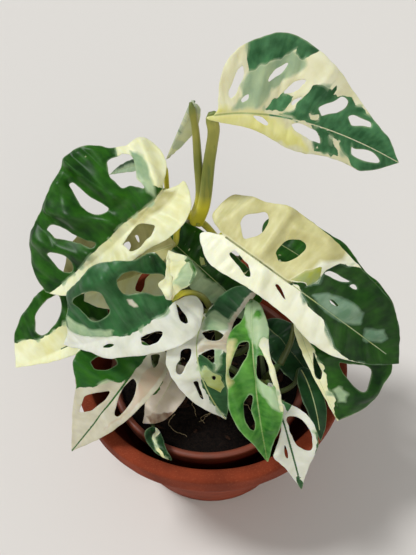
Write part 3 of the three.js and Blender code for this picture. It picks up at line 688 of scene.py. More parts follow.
def cut_grid(x: Array, y: Array, depth: Array) -> tuple[Array, Array, Array, list[Array], Array]:
    """Cut a flat grid along the line where depth is nought.

    Formula: marching squares, where a cell's side is crossed at the share depth / (depth - next depth).

    Args:
        x: The grid's first coordinates.
        y: The grid's second coordinates.
        depth: How far each corner lies inside.

    Returns:
        The kept corners' x, y and depth, the faces by their number of corners, and the rim's edges.
    """
    solid = depth > 0
    cross_x, cross_y = solid[:-1] != solid[1:], solid[:, :-1] != solid[:, 1:]
    numbers, start = [], 0
    for mask in (solid, cross_x, cross_y):
        number = np.full(mask.shape, -1)
        number[mask] = np.arange(start, start + mask.sum())
        start += int(mask.sum())
        numbers.append(number)
    share_x = (depth[:-1] / np.where(cross_x, depth[:-1] - depth[1:], 1))[cross_x]
    share_y = (depth[:, :-1] / np.where(cross_y, depth[:, :-1] - depth[:, 1:], 1))[cross_y]
    spots = []
    for value in (x, y, depth):
        along_x = value[:-1][cross_x] * (1 - share_x) + value[1:][cross_x] * share_x
        along_y = value[:, :-1][cross_y] * (1 - share_y) + value[:, 1:][cross_y] * share_y
        spots.append(np.concatenate([value[solid], along_x, along_y]))
    corner, side_x, side_y = numbers
    label = {"a": corner[:-1, :-1], "b": corner[1:, :-1], "c": corner[1:, 1:], "d": corner[:-1, 1:]}
    label |= {"ab": side_x[:, :-1], "bc": side_y[1:], "cd": side_x[:, 1:], "da": side_y[:-1]}
    worth = sum((label[name] >= 0) * value for name, value in zip("abcd", (1, 2, 4, 8)))
    faces, rims = [], []
    for case, shapes in CELLS.items():
        here = worth == case
        for names in (shape.split() for shape in shapes):
            faces.append(np.stack([label[name][here] for name in names], 1))
            for name, following in zip(names, names[1:] + names[:1]):
                if len(name) == 2 and len(following) == 2:
                    rims.append(np.stack([label[name][here], label[following][here]], 1))
    return spots[0], spots[1], spots[2], faces, np.concatenate(rims)


Zone = tuple[Tissue, Ring]
Rib = tuple[Tissue, float, float, float]

# A blade's form: the rolls are given over this many mm, and a low wave runs along its outer parts
ROLL_SPAN = 30.0
WAVES = 2.5
WAVE_REACH = 20.0
# The midrib's direction is held beyond these shares of its length
HELD = (-0.3, 1.1)

# Side veins leave the midrib at an angle that falls towards the tip, in degrees, and lean and sway
VEIN_ANGLE = 100.0
VEIN_FALL = 54.0
VEIN_LEAN = 0.9
VEIN_ROUNDS = 4
VEIN_SWAY = 1.6
VEIN_SWAY_SIZE = 15.0

# The relief of the skin: heights, and the sizes that they spread over, in mm
VEIN_SHIFT = 0.35
VEIN_SIDES = 20.0
VEIN_SHIFT_SIZE = 11.0
DOME_POWER = 1.2
CREASE = 0.15
CREASE_SIZE = 1.3
RIB_FURROW = 0.6
RIB_SIZE = 1.3
BLISTER_SHARE = 0.7
BLISTER_SIZE = 7.0
SWELL = 0.8
SWELL_SIZE = 19.0
SWELL_REACH = 15.0
RIPPLE = 0.5
RIPPLE_SIZE = 6.0
RIPPLE_REACH = 3.0
RIPPLE_START = 8.0
FADE_REACH = 6.0
FADE_SIZE = 16.0
SPINE = 1.3
SPINE_TAPER = 0.8
THIN_EDGE = 0.7

# The random parts of the painting: sizes in mm
TEAR_SIZE = 1.7
SWAY_SIZE = 5.0
FRINGE_SIZE = 3.0
STREAK_SIZE = 1.1
SPOT_SIZE = 1.5
CLUSTER_SIZE = 12.0
RIM_SIZE = 4.0
EDGE_FRAY = 0.25
EDGE_FRAY_SIZE = 3.1
# A tissue that covers the whole blade lies this deep, and the pattern of the lower side is this far off
DEEP = 50.0
LOWER_SIDE = 40.0


@dataclass(frozen=True)
class Blade:
    """One leaf blade: its midrib in space, and its cut edge, holes and colour zones laid flat, in mm.

    The flat x goes along the midrib and y across it, plus on the left looking from base to tip. A rib is
    a tissue, the two distances that it runs between and its half width. A ridge is its two ends, height
    and width.
    """

    midrib: tuple[Point, Point, Point]
    facing: Point
    left: Ring
    right: Ring
    holes: tuple[Ring, ...] = ()
    fold: Point = (8, 8)
    roll: Point = (0, 0)
    base: Tissue = Tissue.CREAM
    zones: tuple[Zone, ...] = ()
    ribs: tuple[Rib, ...] = ()
    ridges: Ring = ()
    skin: LeafSkin = FRESH
    slot: str = "leaf_variegated"
    pucker: float = 0.5
    flecks: float = 0.0
    torn: float = 0.8
    thickness: float = 0.5
    grid: float = 0.65
    vein_gap: float = 8.5

    def curve(self, t: Array) -> Array:
        """Follow the midrib: a quadratic curve through base, bow and tip, at shares from 0 to 1."""
        base, bow, tip = np.array(self.midrib, float)
        return base * (1 - t) ** 2 + bow * 2 * t * (1 - t) + tip * t * t

    def length(self) -> float:
        """Measure the midrib, in mm."""
        return float(length_along(self.curve(np.linspace(0, 1, 201)[:, None]))[-1])

    def spot(self, x: Array, y: Array) -> Array:
        """Bend flat points onto the blade's own surface.

        Formula: the middle is the midrib's curve. From it each half leaves at its fold angle and turns by
        its roll over every ROLL_SPAN, and a low wave runs along the outer parts.

        Args:
            x: Distances along the midrib.
            y: Distances across it.

        Returns:
            The points in space, one row each.
        """
        base, bow, tip = np.array(self.midrib, float)
        t = (x / self.length())[:, None]
        held = np.clip(t, *HELD)
        along = (bow - base) * (1 - held) + (tip - bow) * held
        along /= np.linalg.norm(along, axis=1, keepdims=True)
        facing = np.array(self.facing, float) / np.linalg.norm(self.facing)
        normal = facing - along * (along @ facing)[:, None]
        normal /= np.linalg.norm(normal, axis=1, keepdims=True)
        across = np.cross(normal, along)
        out = np.abs(y)
        side = (y < 0).astype(int)
        lift = np.radians(np.array(self.fold, float))[side]
        bend = np.radians(np.array(self.roll, float))[side] / ROLL_SPAN
        bend = np.where(bend == 0, 1e-7, bend)
        sideways = (np.sin(lift + bend * out) - np.sin(lift)) / bend
        height = (np.cos(lift) - np.cos(lift + bend * out)) / bend
        height += np.sin(TURN * WAVES * t[:, 0]) * np.minimum(out / WAVE_REACH, 1) ** 2
        return self.curve(t) + across * (np.sign(y) * sideways)[:, None] + normal * height[:, None]

    def normal(self, x: Array, y: Array) -> Array:
        """Work out the direction square to the surface, from points half a mm to each side."""
        along = self.spot(x + 0.5, y) - self.spot(x - 0.5, y)
        across = self.spot(x, y + 0.5) - self.spot(x, y - 0.5)
        square = np.cross(along, across)
        return square / np.linalg.norm(square, axis=1, keepdims=True)

    def edge_ring(self) -> Array:
        """Lay the blade's outer edge as one ring, up the left side and back down the right."""
        tip = (self.length(), 0.0)
        left = smooth_line([(0, 0), *self.left, tip], 8)
        right = smooth_line([(0, 0), *((x, -y) for x, y in self.right), tip], 8)
        return np.vstack([left, right[::-1][1:-1]])

    def depth(self, x: Array, y: Array) -> Array:
        """Work out how far inside the blade each point lies, clear of its edge and its holes.

        Args:
            x: Distances along the midrib.
            y: Distances across it.

        Returns:
            Distances in mm, plus inside. A hole is a smooth closed line through its points.
        """
        depth = ring_distance(x, y, self.edge_ring())
        for hole in self.holes:
            around = smooth_line([*hole[-2:], *hole, *hole[:2]], 5)[10:-10]
            depth = np.minimum(depth, -ring_distance(x, y, around))
        return depth

    def vein_lines(self, x: Array, y: Array) -> tuple[Array, Array]:
        """Find where the side vein through each point leaves the midrib, and how far out along it the point is.

        Formula: the start is x - |y| / tan(angle at the start), found by going round, and it sways.

        Args:
            x: Distances along the midrib.
            y: Distances across it.

        Returns:
            The starts and the distances along the vein, in mm.
        """
        start = x
        for _ in range(VEIN_ROUNDS):
            angle = np.radians(VEIN_ANGLE - VEIN_FALL * np.clip(start / self.length(), 0, 1))
            start = x - np.abs(y) / np.tan(angle) * VEIN_LEAN
        return start + VEIN_SWAY * soft_noise(x, y, VEIN_SWAY_SIZE, 5), np.abs(y) / np.sin(angle)

    def relief(self, x: Array, y: Array, depth: Array, seed: int) -> Array:
        """Work out how far the skin stands proud of the smooth surface.

        Formula: low domes between the side veins, a soft crease on each vein and on the midrib, random
        blisters and swells, a ripple that grows towards the edge, and rounded ridges.

        Args:
            x: Distances along the midrib.
            y: Distances across it.
            depth: Distances in from the edge.
            seed: Which random numbers.

        Returns:
            Heights in mm.
        """
        start, out = self.vein_lines(x, y)
        shift = VEIN_SHIFT * soft_noise(start, VEIN_SIDES * np.sign(y), VEIN_SHIFT_SIZE, seed + 13)
        phase = start / self.vein_gap + 0.5 * (y < 0) + shift
        away = np.abs(phase - np.round(phase)) * self.vein_gap
        fade = np.clip(out / FADE_REACH, 0, 1) * np.clip(depth / RIPPLE_REACH, 0.25, 1)
        fade *= 0.75 + 0.6 * soft_noise(x, y, FADE_SIZE, seed + 14)
        height = np.sin(math.pi * away / self.vein_gap) ** DOME_POWER * self.pucker * fade
        height -= CREASE * np.exp(-((away / CREASE_SIZE) ** 2)) * fade
        height -= RIB_FURROW * np.exp(-((y / RIB_SIZE) ** 2)) * np.clip(1 - x / self.length(), 0, 1)
        height += soft_noise(start, out * 0.6, BLISTER_SIZE, seed) * self.pucker * BLISTER_SHARE * fade
        height += soft_noise(x, y, SWELL_SIZE, seed + 1) * SWELL * np.clip(out / SWELL_REACH, 0, 1)
        ripple = soft_noise(x, y, RIPPLE_SIZE, seed + 2) * RIPPLE * np.exp(-depth / RIPPLE_REACH)
        height += ripple * np.clip(out / RIPPLE_START, 0, 1)
        for start_x, start_y, end_x, end_y, high, wide in self.ridges:
            ex, ey = end_x - start_x, end_y - start_y
            share = np.clip(((x - start_x) * ex + (y - start_y) * ey) / (ex * ex + ey * ey), 0, 1)
            square = (x - start_x - share * ex) ** 2 + (y - start_y - share * ey) ** 2
            height += high * np.exp(-square / wide**2)
        return height

    def paint(self, x: Array, y: Array, inside: Array, seed: int) -> dict[str, Array]:
        """Lay the colour zones over each other, with torn edges, a pale fringe, flecks, a rim and ribs.

        Formula: each tissue has a depth in mm, plus where it shows. A zone painted later takes its place
        from all others, by the smaller of their depth and minus its own, unless it is a soft one.

        Args:
            x: Distances along the midrib.
            y: Distances across it.
            inside: Distances in from the edge.
            seed: Which random numbers.

        Returns:
            The depth of each tissue, by its name.
        """
        start, out = self.vein_lines(x, y)
        depths = {tissue: np.full(x.shape, DEEP if tissue is self.base else -DEEP) for tissue in Tissue}

        def lay(tissue: Tissue, depth: Array) -> None:
            """Paint one zone. A soft tissue leaves what lies under it."""
            depths[tissue] = np.maximum(depths[tissue], depth)
            if tissue not in SOFTNESS:
                for other in set(Tissue) - {tissue}:
                    depths[other] = np.minimum(depths[other], -depth)

        def tear(step: int) -> Array:
            """Push the zones' edges to and fro, mostly along the veins."""
            fine = soft_noise(start, out * 0.4, TEAR_SIZE, seed + step)
            return self.torn * (fine + 1.5 * soft_noise(x, y, SWAY_SIZE, seed + step + 1))

        torn_x, torn_y = x + tear(3), y + tear(5)
        for tissue, ring in self.zones:
            lay(tissue, ring_distance(torn_x, torn_y, np.array(ring, float)))
        green = depths[Tissue.GREEN]
        fringe = np.clip(4.5 * soft_noise(start, out * 0.3, FRINGE_SIZE, seed + 7) - 1.8, -4, 1.4)
        lay(Tissue.MINT, np.minimum(green + fringe, -green + 0.1))
        streaks = soft_noise(start, out * 0.25, STREAK_SIZE, seed + 8)
        streaks += 0.6 * soft_noise(x, y, CLUSTER_SIZE, seed + 9)
        lay(Tissue.MINT, np.minimum((streaks - 1.9 + self.flecks) * 2, green))
        spots = soft_noise(start, out * 0.4, SPOT_SIZE, seed + 10)
        spots += 0.6 * soft_noise(x, y, CLUSTER_SIZE + 1, seed + 11)
        lay(Tissue.CREAM, np.minimum((spots - 1.4 + 0.4 * self.flecks) * 2, green))
        rim = 0.3 * soft_noise(x, y, RIM_SIZE, seed + 15) - 0.4 - inside
        lay(Tissue.MINT, np.minimum(rim, depths[Tissue.GREEN]))
        for tissue, near, far, half in self.ribs:
            thin = half * (1 - 0.4 * np.clip(x / self.length(), 0, 1))
            lay(tissue, np.minimum(thin - np.abs(y), np.minimum(x - near, far - x)))
        return {tissue.value: depth for tissue, depth in depths.items()}

    def surface(self, seed: int) -> Surface:
        """Build the closed blade: two skins from the cut grid and a thin wall along the rim.

        Args:
            seed: Which random numbers.

        Returns:
            The surface with its colour zones, flat places and veins.
        """
        ring = self.edge_ring()
        low, high = ring.min(0) - 2 * self.grid, ring.max(0) + 2 * self.grid
        steps = (np.arange(least, most, self.grid) for least, most in zip(low, high))
        x, y = np.meshgrid(*steps, indexing="ij")
        depth = self.depth(x, y) + EDGE_FRAY * soft_noise(x, y, EDGE_FRAY_SIZE, seed + 12)
        x, y, depth, faces, rim = cut_grid(x, y, depth)
        count = len(x)
        share = np.clip(x / self.length(), 0, 1)
        middle, normal = self.spot(x, y), self.normal(x, y)
        raised = self.relief(x, y, depth, seed)
        half = self.thickness / 2 * np.sqrt(np.clip(depth / THIN_EDGE, 0.12, 1))
        spine = SPINE * np.exp(-((y / (SPINE - SPINE_TAPER * share)) ** 2))
        spine *= np.clip(1.05 - x / self.length(), 0, 1) * np.clip(x / 2 + 1, 0, 1)
        top = middle + normal * (raised + half)[:, None]
        bottom = middle + normal * (raised - half - spine)[:, None]
        wall = np.stack([rim[:, 1], rim[:, 0], rim[:, 0] + count, rim[:, 1] + count], 1)
        start, out = self.vein_lines(x, y)
        made = Surface(np.vstack([top, bottom]), [*faces, *(face[:, ::-1] + count for face in faces), wall])
        made.values = {name: np.tile(value, 2) for name, value in self.paint(x, y, depth, seed).items()}
        made.values["flat"] = np.vstack([np.stack([x, y, depth + side], 1) for side in (0, LOWER_SIDE)])
        made.values["grain"] = np.tile(np.stack([start, out * 0.3, np.full(count, float(seed))], 1), (2, 1))
        made.values["under"] = np.repeat([0.0, 1.0], count)
        return made


CREAM, MINT, GREEN, LIME, TAN, BUFF = Tissue

LEAVES: dict[str, Blade] = {
    "leaf_crown": Blade(
        midrib=((1, 32, 251), (39, 44, 250), (98, 44, 212)), facing=(0, -0.75, 0.6), fold=(5, -20), roll=(6, 0),
        left=((3, 2.5), (4, 8), (5.5, 15), (11, 26), (28, 36), (37, 38), (60, 29), (86, 13), (97, 8)),
        right=(
            (-5, 0.5), (-2, 2), (4, 4), (14, 5.5), (32, 9), (48, 14), (58, 15), (69, 14), (78, 13), (86, 13),
            (94, 13), (101, 8),
        ),
        holes=(
            ((17, 22), (18, 17), (16, 13), (14, 9), (11, 7), (10, 9), (12, 14), (15, 20)),
            ((39, 25), (38, 21), (34, 17), (31, 15), (31, 17), (34, 21)),
            ((21, 9), (21, 7), (18, 5), (17, 6), (19, 8)),
            ((49, 19), (44, 17), (41, 13), (40, 11), (44, 12), (47, 14)),
            ((49, 11), (48, 9), (46, 6), (45, 7), (46, 9)),
            ((59, 8), (62, 11), (65, 13), (68, 17), (72, 16), (72, 13), (69, 9), (65, 7), (62, 5)),
            ((75, 9), (77, 11), (81, 11), (86, 11), (87, 9), (83, 8), (78, 6)),
            ((24, -1), (29, -1), (35, -4), (34, -5), (28, -3)),
            ((48, -3), (52, -1), (58, -2), (63, -3), (68, -8), (64, -8), (58, -7), (51, -5)),
            ((82, -2), (84, -4), (90, -2), (95, -2), (99, -4), (99, -5), (95, -7), (89, -8), (85, -7)),
        ),
        zones=(
            (MINT, ((21, 19), (25, 21), (35, 26), (39, 30), (46, 29), (46, 27), (44, 22), (39, 17), (34, 11),
                (29, 4), (26, 2), (12, 2), (18, 7), (17, 14))),
            (GREEN, ((19, 30), (18, 34), (27, 38), (33, 42), (42, 42), (50, 34), (48, 29), (45, 27), (41, 29),
                (41, 32), (35, 26), (30, 24), (25, 21), (21, 19), (19, 24))),
            (GREEN, ((31, 2), (35, 7), (40, 10), (45, 12), (44, 9), (40, 3), (34, 2))),
            (GREEN, ((39, 1), (44, 3), (49, 9), (51, 14), (52, 18), (55, 19), (62, 19), (64, 22), (65, 20),
                (64, 17), (68, 18), (73, 18), (76, 16), (81, 15), (88, 14), (96, 12), (105, 5), (113, 0),
                (105, -7), (97, -14), (88, -13), (80, -8), (74, -4), (68, -1), (59, 0), (50, -1), (45, 1))),
            (GREEN, ((59, 0), (63, -4), (69, -8), (64, -8), (66, -12), (73, -12), (79, -12), (78, -9), (73, -5),
                (68, -1))),
            (CREAM, ((54, 21), (57, 22), (60, 20), (57, 19))), (CREAM, ((55, 4), (60, 5), (62, 3), (57, 2))),
            # Painted shade along the midrib's base
            (BUFF, ((-6, -8), (-4, 1), (4, 3), (14, 1), (30, 0.4), (50, -5), (62, -13), (30, -11), (4, -7))),
        ),
        ribs=((GREEN, 0, 48, 0.45), (CREAM, 48, 112, 0.35)),
        ridges=((52, 4, 58, 26, 1.8, 4), (30, -6, 60, -12, 1.5, 4), (26, 4, 28, 22, 1.6, 4)), skin=CROWN,
        pucker=0.35,
    ),
    "leaf_left_big": Blade(
        midrib=((-26, 44, 192), (-56, 10, 172), (-95, 15, 140)), facing=(-0.25, -0.6, 0.75), fold=(5, 5),
        left=((-7, 5), (-10, 6), (-4, 16), (3, 21), (10, 22), (29, 16), (60, 14), (78, 9)),
        right=(
            (-15, 10), (-19, 22), (-17, 30), (-9, 33.5), (-3, 38), (2, 45), (9, 51), (22, 54), (43, 49),
            (77, 38), (91, 28), (96, 17),
        ),
        holes=(
            ((37, -41), (34, -41), (33, -37), (32, -30), (30, -24), (28, -16), (35, -17), (39, -22), (40, -27),
                (39, -34)),
            ((72, -30), (68, -31), (62, -27), (57, -19), (52, -12), (48, -7), (51, -6), (55, -11), (62, -18),
                (70, -24)),
            ((80, -18), (77, -18), (72, -15), (68, -10), (68, -6), (70, -3), (75, -4), (78, -8), (79, -13)),
            ((36, 4), (33, 3), (28, 2), (22, 2), (19, 5), (17, 10), (21, 12), (26, 12), (31, 12), (35, 10)),
            ((7, -34), (4, -34), (-1, -32), (-4, -31), (-6, -28), (-5, -25), (0, -19), (3, -16), (4, -12),
                (5, -9), (7, -12), (9, -16), (13, -18), (13, -23), (13, -27), (11, -30)),
        ),
        zones=(
            (GREEN, ((-1, 0), (9, -1), (27, -4), (48, -4), (69, -1), (96, 2), (107, -18), (79, -46), (20, -61),
                (-3, -50), (-8, -41), (-3, -35), (0, -32), (9, -22), (7, -14), (3, -8), (1, -2))),
            (MINT, ((-8, -29), (-9, -25), (-8, -20), (-5, -14), (-1, -10), (1, -6), (3, -3), (5, -1), (6, -6),
                (4, -12), (3, -16), (0, -19), (-4, -24))),
            # Painted shade along the midrib's base
            (BUFF, ((0, 1), (24, -3), (24, 1), (4, 7), (-4, 6))),
        ),
        ridges=(
            (26, -50, 20, -18, 5, 5), (60, -38, 32, -9, 4.5, 5.5), (82, -28, 56, -4, 3.5, 5),
            (-15, -26, 1, -4, 5, 4.5), (44, -44, 50, -22, 2.5, 5), (14, 14, 44, 14, 1.5, 5),
        ),
        pucker=1, torn=0.2,
    ),
    "leaf_left_under": Blade(
        midrib=((-20, 30, 165), (-55, 12, 165), (-88, 26, 136)), facing=(-0.2, -0.55, 0.8),
        left=((11, 8), (40, 10), (60, 10)), right=((4, 14), (16, 24), (34, 28), (50, 25), (61, 21)),
        holes=(((29, -9), (25, -10), (25, -7), (28, -5)), ((21, -12), (19, -12), (19, -8), (20, -7))),
        # The whole blade is painted shade, as it lies under leaf_left_big
        base=BUFF, ribs=((LIME, 2, 90, 0.25),), skin=FRESH,
    ),
    "leaf_left_shade": Blade(
        midrib=((-29, 75, 184), (-47, 95, 170), (-68, 115, 140)), facing=(-0.2, -0.6, 0.75),
        left=((8, 3), (30, 4), (50, 3)), right=((8, 3), (30, 4), (50, 3)), base=GREEN,
        zones=((MINT, ((-8, -1), (70, -1), (70, 9), (-8, 9))),), ribs=((LIME, 2, 80, 0.25),), skin=SHADED,
        slot="leaf_green", flecks=0.3,
    ),
    "leaf_lower_cream": Blade(
        midrib=((-24, 38, 146), (-46, 21, 151), (-75, 19, 127)), facing=(-0.1, -0.5, 0.85),
        left=((5, 9), (14, 19), (27, 22), (41, 17), (53, 9)), right=((10, 9), (30, 12), (46, 10), (56, 6)),
        holes=(((30, 11), (29, 8), (26, 5), (22, 3), (18, 5), (22, 7), (25, 11), (28, 13)),),
        ribs=((GREEN, 14, 46, 0.5),), pucker=0.8,
    ),
    "leaf_left_front": Blade(
        midrib=((-20, -14, 168), (-44, -39, 165), (-83, -13, 128)), facing=(0, -0.7, 0.7), fold=(5, 5),
        left=((-10, 3), (-13, 7), (-12, 12), (0, 20), (16, 19), (41, 12), (54, 10), (63, 5)),
        right=(
            (-9, 9), (-14, 17), (-12, 23), (-11, 26), (-5, 28), (7, 30), (13, 34), (23, 37), (35, 38), (44, 35),
            (63, 29), (67, 22), (72, 14), (75, 7),
        ),
        holes=(
            ((1, -6), (7, -9), (11, -13), (17, -15), (24, -18), (25, -21), (24, -24), (22, -26), (14, -27),
                (9, -25), (6, -22), (3, -20), (-3, -17), (-7, -14), (-5, -8)),
            ((60, -23), (55, -26), (40, -27), (37, -24), (38, -18), (39, -13), (46, -11), (53, -11), (58, -17)),
            ((-1, 2), (-1, 7), (1, 13), (3, 13), (4, 10), (2, 6)),
            ((29, 6), (26, 6), (19, 7), (16, 9), (18, 11), (24, 12), (28, 11), (30, 9)),
            ((54, 4), (50, 3), (46, 4), (50, 5)),
        ),
        zones=(
            (GREEN, ((-1, -1), (7, 2), (17, 2), (25, 2), (37, 2), (46, 0), (57, -3), (65, -5), (72, -10),
                (75, -20), (55, -42), (15, -44), (-18, -20), (-9, -9))),
            (MINT, ((69, -16), (62, -10), (55, -6), (47, -4), (43, -3), (46, 0), (57, -3), (65, -5), (72, -9))),
            (TAN, ((24, -15), (21, -13), (20, -9), (22, -9), (24, -12))),
        ),
        ridges=(
            (8, -32, 58, -27, 4.5, 6), (31, -30, 31, -6, 2.5, 4), (-12, -24, 4, -29, 3, 4),
            (34, 13, 40, 4, 1.5, 4), (6, 14, 12, 4, 1.5, 4),
        ),
        skin=COOL, pucker=0.7, torn=0.5,
    ),
    "leaf_crumpled": Blade(
        midrib=((-20, -16, 172), (-20, -12, 183), (-23, 17, 174)), facing=(0.1, -0.6, 0.8), fold=(25, 25),
        left=((3, 4), (8, 6), (12, 8), (15, 5), (20, 4), (26, 3)),
        right=((4, 1), (8, 5), (10, 10), (12, 12), (16, 15), (19, 14), (25, 12), (29, 8), (32, 4)),
        zones=(
            (MINT, ((25, -12), (19, -14), (16, -16), (12, -12), (10, -10), (8, -5), (11, -2), (16, -5),
                (20, -7), (23, -10))),
            (GREEN, ((28, -12), (19, -16), (11, -13), (12, -11), (16, -13), (20, -12), (25, -9))),
        ),
        ribs=((TAN, 0, 30, 0.4),),
        ridges=((6, 3, 24, -2, 3, 3), (12, -4, 20, -12, 2.5, 3), (14, 6, 26, 2, 2, 2.5)), skin=FRESH,
        pucker=1.2,
    ),
    "leaf_back_center": Blade(
        midrib=((24, 23, 110), (-3, 13, 160), (-43, 65, 155)), facing=(0.1, -0.68, 0.7),
        left=((0, 5), (24, 9), (36, 13), (82, 6)),
        right=((3, 12), (17, 18), (36, 19), (57, 18), (77, 14), (90, 8)), base=GREEN,
        zones=(
            (MINT, ((-4, 1), (92, 2), (92, 24), (-4, 24))), (LIME, ((56, -4), (53, -5), (50, -3), (52, -1))),
        ),
        ribs=((LIME, 2, 95, 0.25),), slot="leaf_green", flecks=0.2,
    ),
    "leaf_right_big": Blade(
        midrib=((6, 11, 192), (41, -22, 190), (100, -32, 138)), facing=(0.1, -0.6, 0.75), fold=(5, -5),
        left=((-15, 5), (-16, 11), (-14, 20), (10, 26), (23, 31), (35, 32), (92, 25), (102, 21), (110, 14)),
        right=((-14, 6), (-6, 12), (4, 16), (36, 14), (62, 15), (77, 18), (91, 17), (101, 13), (112, 7)),
        holes=(
            ((5, 10), (5, 15), (10, 19), (15, 22), (19, 19), (20, 13), (17, 8), (13, 5), (9, 7)),
            ((34, 8), (34, 15), (37, 19), (44, 21), (46, 19), (45, 13), (42, 8), (38, 6)),
            ((11, -6), (13, -3), (20, -4), (25, -5), (30, -9), (27, -10), (20, -8), (14, -7)),
            ((44, -5), (45, -4), (49, -5), (54, -8), (52, -8)),
            ((62, 14), (64, 17), (70, 18), (76, 19), (74, 17), (68, 15)),
            ((77, 17), (79, 19), (81, 18), (79, 17)), ((72, 5), (74, 6), (78, 5), (74, 4)),
        ),
        zones=(
            # Painted shade over the cupped upper half
            (BUFF, ((-20, 0.5), (49, 0.5), (54, 6), (56, 18), (66, 26), (60, 40), (-20, 40))),
            (GREEN, ((49, 1), (58, 4), (63, 9), (62, 12), (62, 17), (66, 23), (70, 25), (78, 28), (90, 32),
                (106, 26), (126, 0), (114, -9), (103, -12), (96, -14), (89, -13), (82, -9), (76, -5), (69, -5),
                (62, -2), (55, 1))),
            # Mint tissue with painted sheen on the green half
            (MINT, ((64, 2), (70, 7), (80, 10), (90, 10), (92, 5), (86, 0), (74, -1))),
            (MINT, ((96, 4), (104, 9), (107, 7), (106, 3), (99, -1))),
            (LIME, ((50, 2), (60, 5), (62, 12), (59, 16), (53, 10))),
        ),
        ribs=((GREEN, 2, 52, 0.5), (LIME, 52, 112, 0.3)),
        ridges=(
            (27, 4, 26, 28, 3.5, 4.5), (54, 6, 58, 24, 3, 5), (-4, 6, 4, 24, 3, 5), (36, 24, 52, 28, 3, 4),
            (84, 8, 96, 24, 2, 5), (34, -4, 40, -14, 2, 4),
        ),
        skin=MINT_AND_SHEEN, pucker=0.45, torn=0.45,
    ),
    "leaf_right_back": Blade(
        midrib=((31, 56, 144), (68, 30, 149), (109, -2, 105)), facing=(0.2, -0.3, 0.9),
        left=((-4, 9), (5, 21), (21, 23), (49, 23), (66, 20), (86, 20), (93, 17), (101, 10)),
        right=((3, 9), (28, 12), (92, 8)),
        holes=(((47, 2), (52, 8), (60, 11), (70, 13), (74, 10), (70, 4), (61, -1), (53, -6)),), base=GREEN,
        ribs=((LIME, 2, 110, 0.25),), ridges=((40, 6, 46, 20, 3, 5), (70, 4, 76, 18, 3, 5)), slot="leaf_green",
        flecks=0.5,
    ),
    "leaf_right_low": Blade(
        midrib=((47, -3, 140), (52, -34, 142), (69, -51, 110)), facing=(0.3, -0.4, 0.8), fold=(10, -25),
        left=((-4, 10), (-1, 24), (18, 35), (38, 42), (55, 42), (61, 36), (62, 29), (65, 26), (67, 20)),
        right=((3, 2), (24, 3)),
        holes=(
            ((36, 14), (47, 15), (54, 17), (58, 20), (55, 26), (50, 30), (45, 27)),
            ((25, 3), (32, 3), (38, 3), (41, 1), (39, -1), (33, 0), (27, 2)),
        ),
        zones=(
            (GREEN, ((-6, 4), (21, 4), (36, 4), (51, 3), (65, 0), (78, 23), (68, 45), (41, 53), (-9, 36))),
            (MINT, ((50, 5), (49, 8), (51, 10), (56, 11), (57, 8), (55, 4))),
        ),
        ribs=((LIME, 2, 64, 0.25),), ridges=((30, 10, 34, 32, 2.5, 5), (60, 10, 62, 28, 2, 4)),
        slot="leaf_green",
    ),
    "leaf_front_green": Blade(
        midrib=((22, -2, 155), (18, -61, 170), (29, -79, 118)), facing=(0, -0.7, 0.7), fold=(12, 12),
        left=((3, 2), (9, 6), (20, 9), (30, 8.5), (38, 9), (47, 11), (58, 12), (68, 12), (75, 10.5), (84, 5.5)),
        right=((4, 3), (10, 4), (16, 6), (22, 11), (27, 13), (39, 14), (52, 15), (63, 15), (73, 12), (83, 6)),
        holes=(
            ((31, -8), (28, -4), (28, -2), (35, -3), (40, -6), (45, -9), (48, -12), (45, -13), (38, -11),
                (33, -9)),
            ((57, -4), (58, -2), (66, -4), (73, -3), (76, -4), (74, -6), (70, -8), (65, -8), (60, -7)),
            ((36, 2), (36, 5), (39, 6.5), (47, 8), (54, 9), (52, 5), (49, 2), (46, 1)),
        ),
        base=GREEN,
        zones=(
            (MINT, ((4, -3), (2, 1), (9, 6), (20, 9), (27, 8), (27, 5), (31, 2), (25, -1), (17, -3), (10, -4))),
            (GREEN, ((12, 1), (10, 3), (11, 6), (15, 6), (17, 4), (14, 1))),
            (CREAM, ((30, 3), (26, 6), (27, 9), (37, 10), (47, 12), (58, 14), (68, 14), (68, 11), (58, 10),
                (47, 8), (39, 6.5), (35, 5))),
            (MINT, ((49, 1), (52, 5), (58, 10), (68, 11), (64, 7), (58, 3))),
            # Painted shade on this part of the blade
            (BUFF, ((29, -9), (33, -10), (46, -14), (50, -12), (52, -15), (40, -17), (28, -13))),
        ),
        ribs=((LIME, 6, 97, 0.35),),
        ridges=(
            (4, 4, 26, 4, 3, 4), (54, -13, 80, -7, 2.5, 4), (48, 9, 76, 5, 2.5, 3.5), (27, -10, 50, -1, 2, 4),
        ),
        skin=BRIGHT, slot="leaf_green", torn=0.4,
    ),
    "leaf_front_white": Blade(
        midrib=((30, -43, 138), (37, -71, 142), (48, -84, 96)), facing=(0.1, -0.7, 0.7), fold=(5, 5),
        left=((4, 2), (15, 3), (19, 6), (25, 11), (32, 14), (39, 15), (47, 14), (53, 9), (60, 4)),
        right=((4, 2), (15, 3), (24, 1), (32, 3), (41, 9), (44, 10), (52, 6), (59, 3)),
        holes=(
            ((26, 3), (28, 8), (34, 11), (41, 12), (48, 10), (47, 7), (42, 3), (36, 2), (31, 2), (27, 2)),
            ((40, -3), (44, -2), (49, -3), (47, -4), (43, -4)),
        ),
        zones=(
            (GREEN, ((0, 1), (14, 2), (24, 4), (16, 9), (2, 6))),
            (GREEN, ((38, 15), (47, 14), (53, 9.5), (56, 9), (48, 17), (38, 17))),
            (GREEN, ((61, 1.5), (70, 2), (70, -2), (60, -1))),
        ),
        ribs=((GREEN, 10, 66, 0.65),), ridges=((30, -1, 42, -8, 2, 4),), skin=COOL,
    ),
    "leaf_mid_white": Blade(
        midrib=((-2, -10, 155), (-17, -43, 160), (8, -51, 112)), facing=(0, -0.7, 0.7), fold=(5, 5),
        left=((-28, 2), (-34, 10), (-26, 13), (7, 16), (39, 15), (65, 6)),
        right=((6, 2), (22, 13), (30, 16), (35, 16), (52, 11)),
        holes=(
            ((16, 2), (13, 5), (11, 9), (13, 13), (19, 12), (21, 8), (19, 4)),
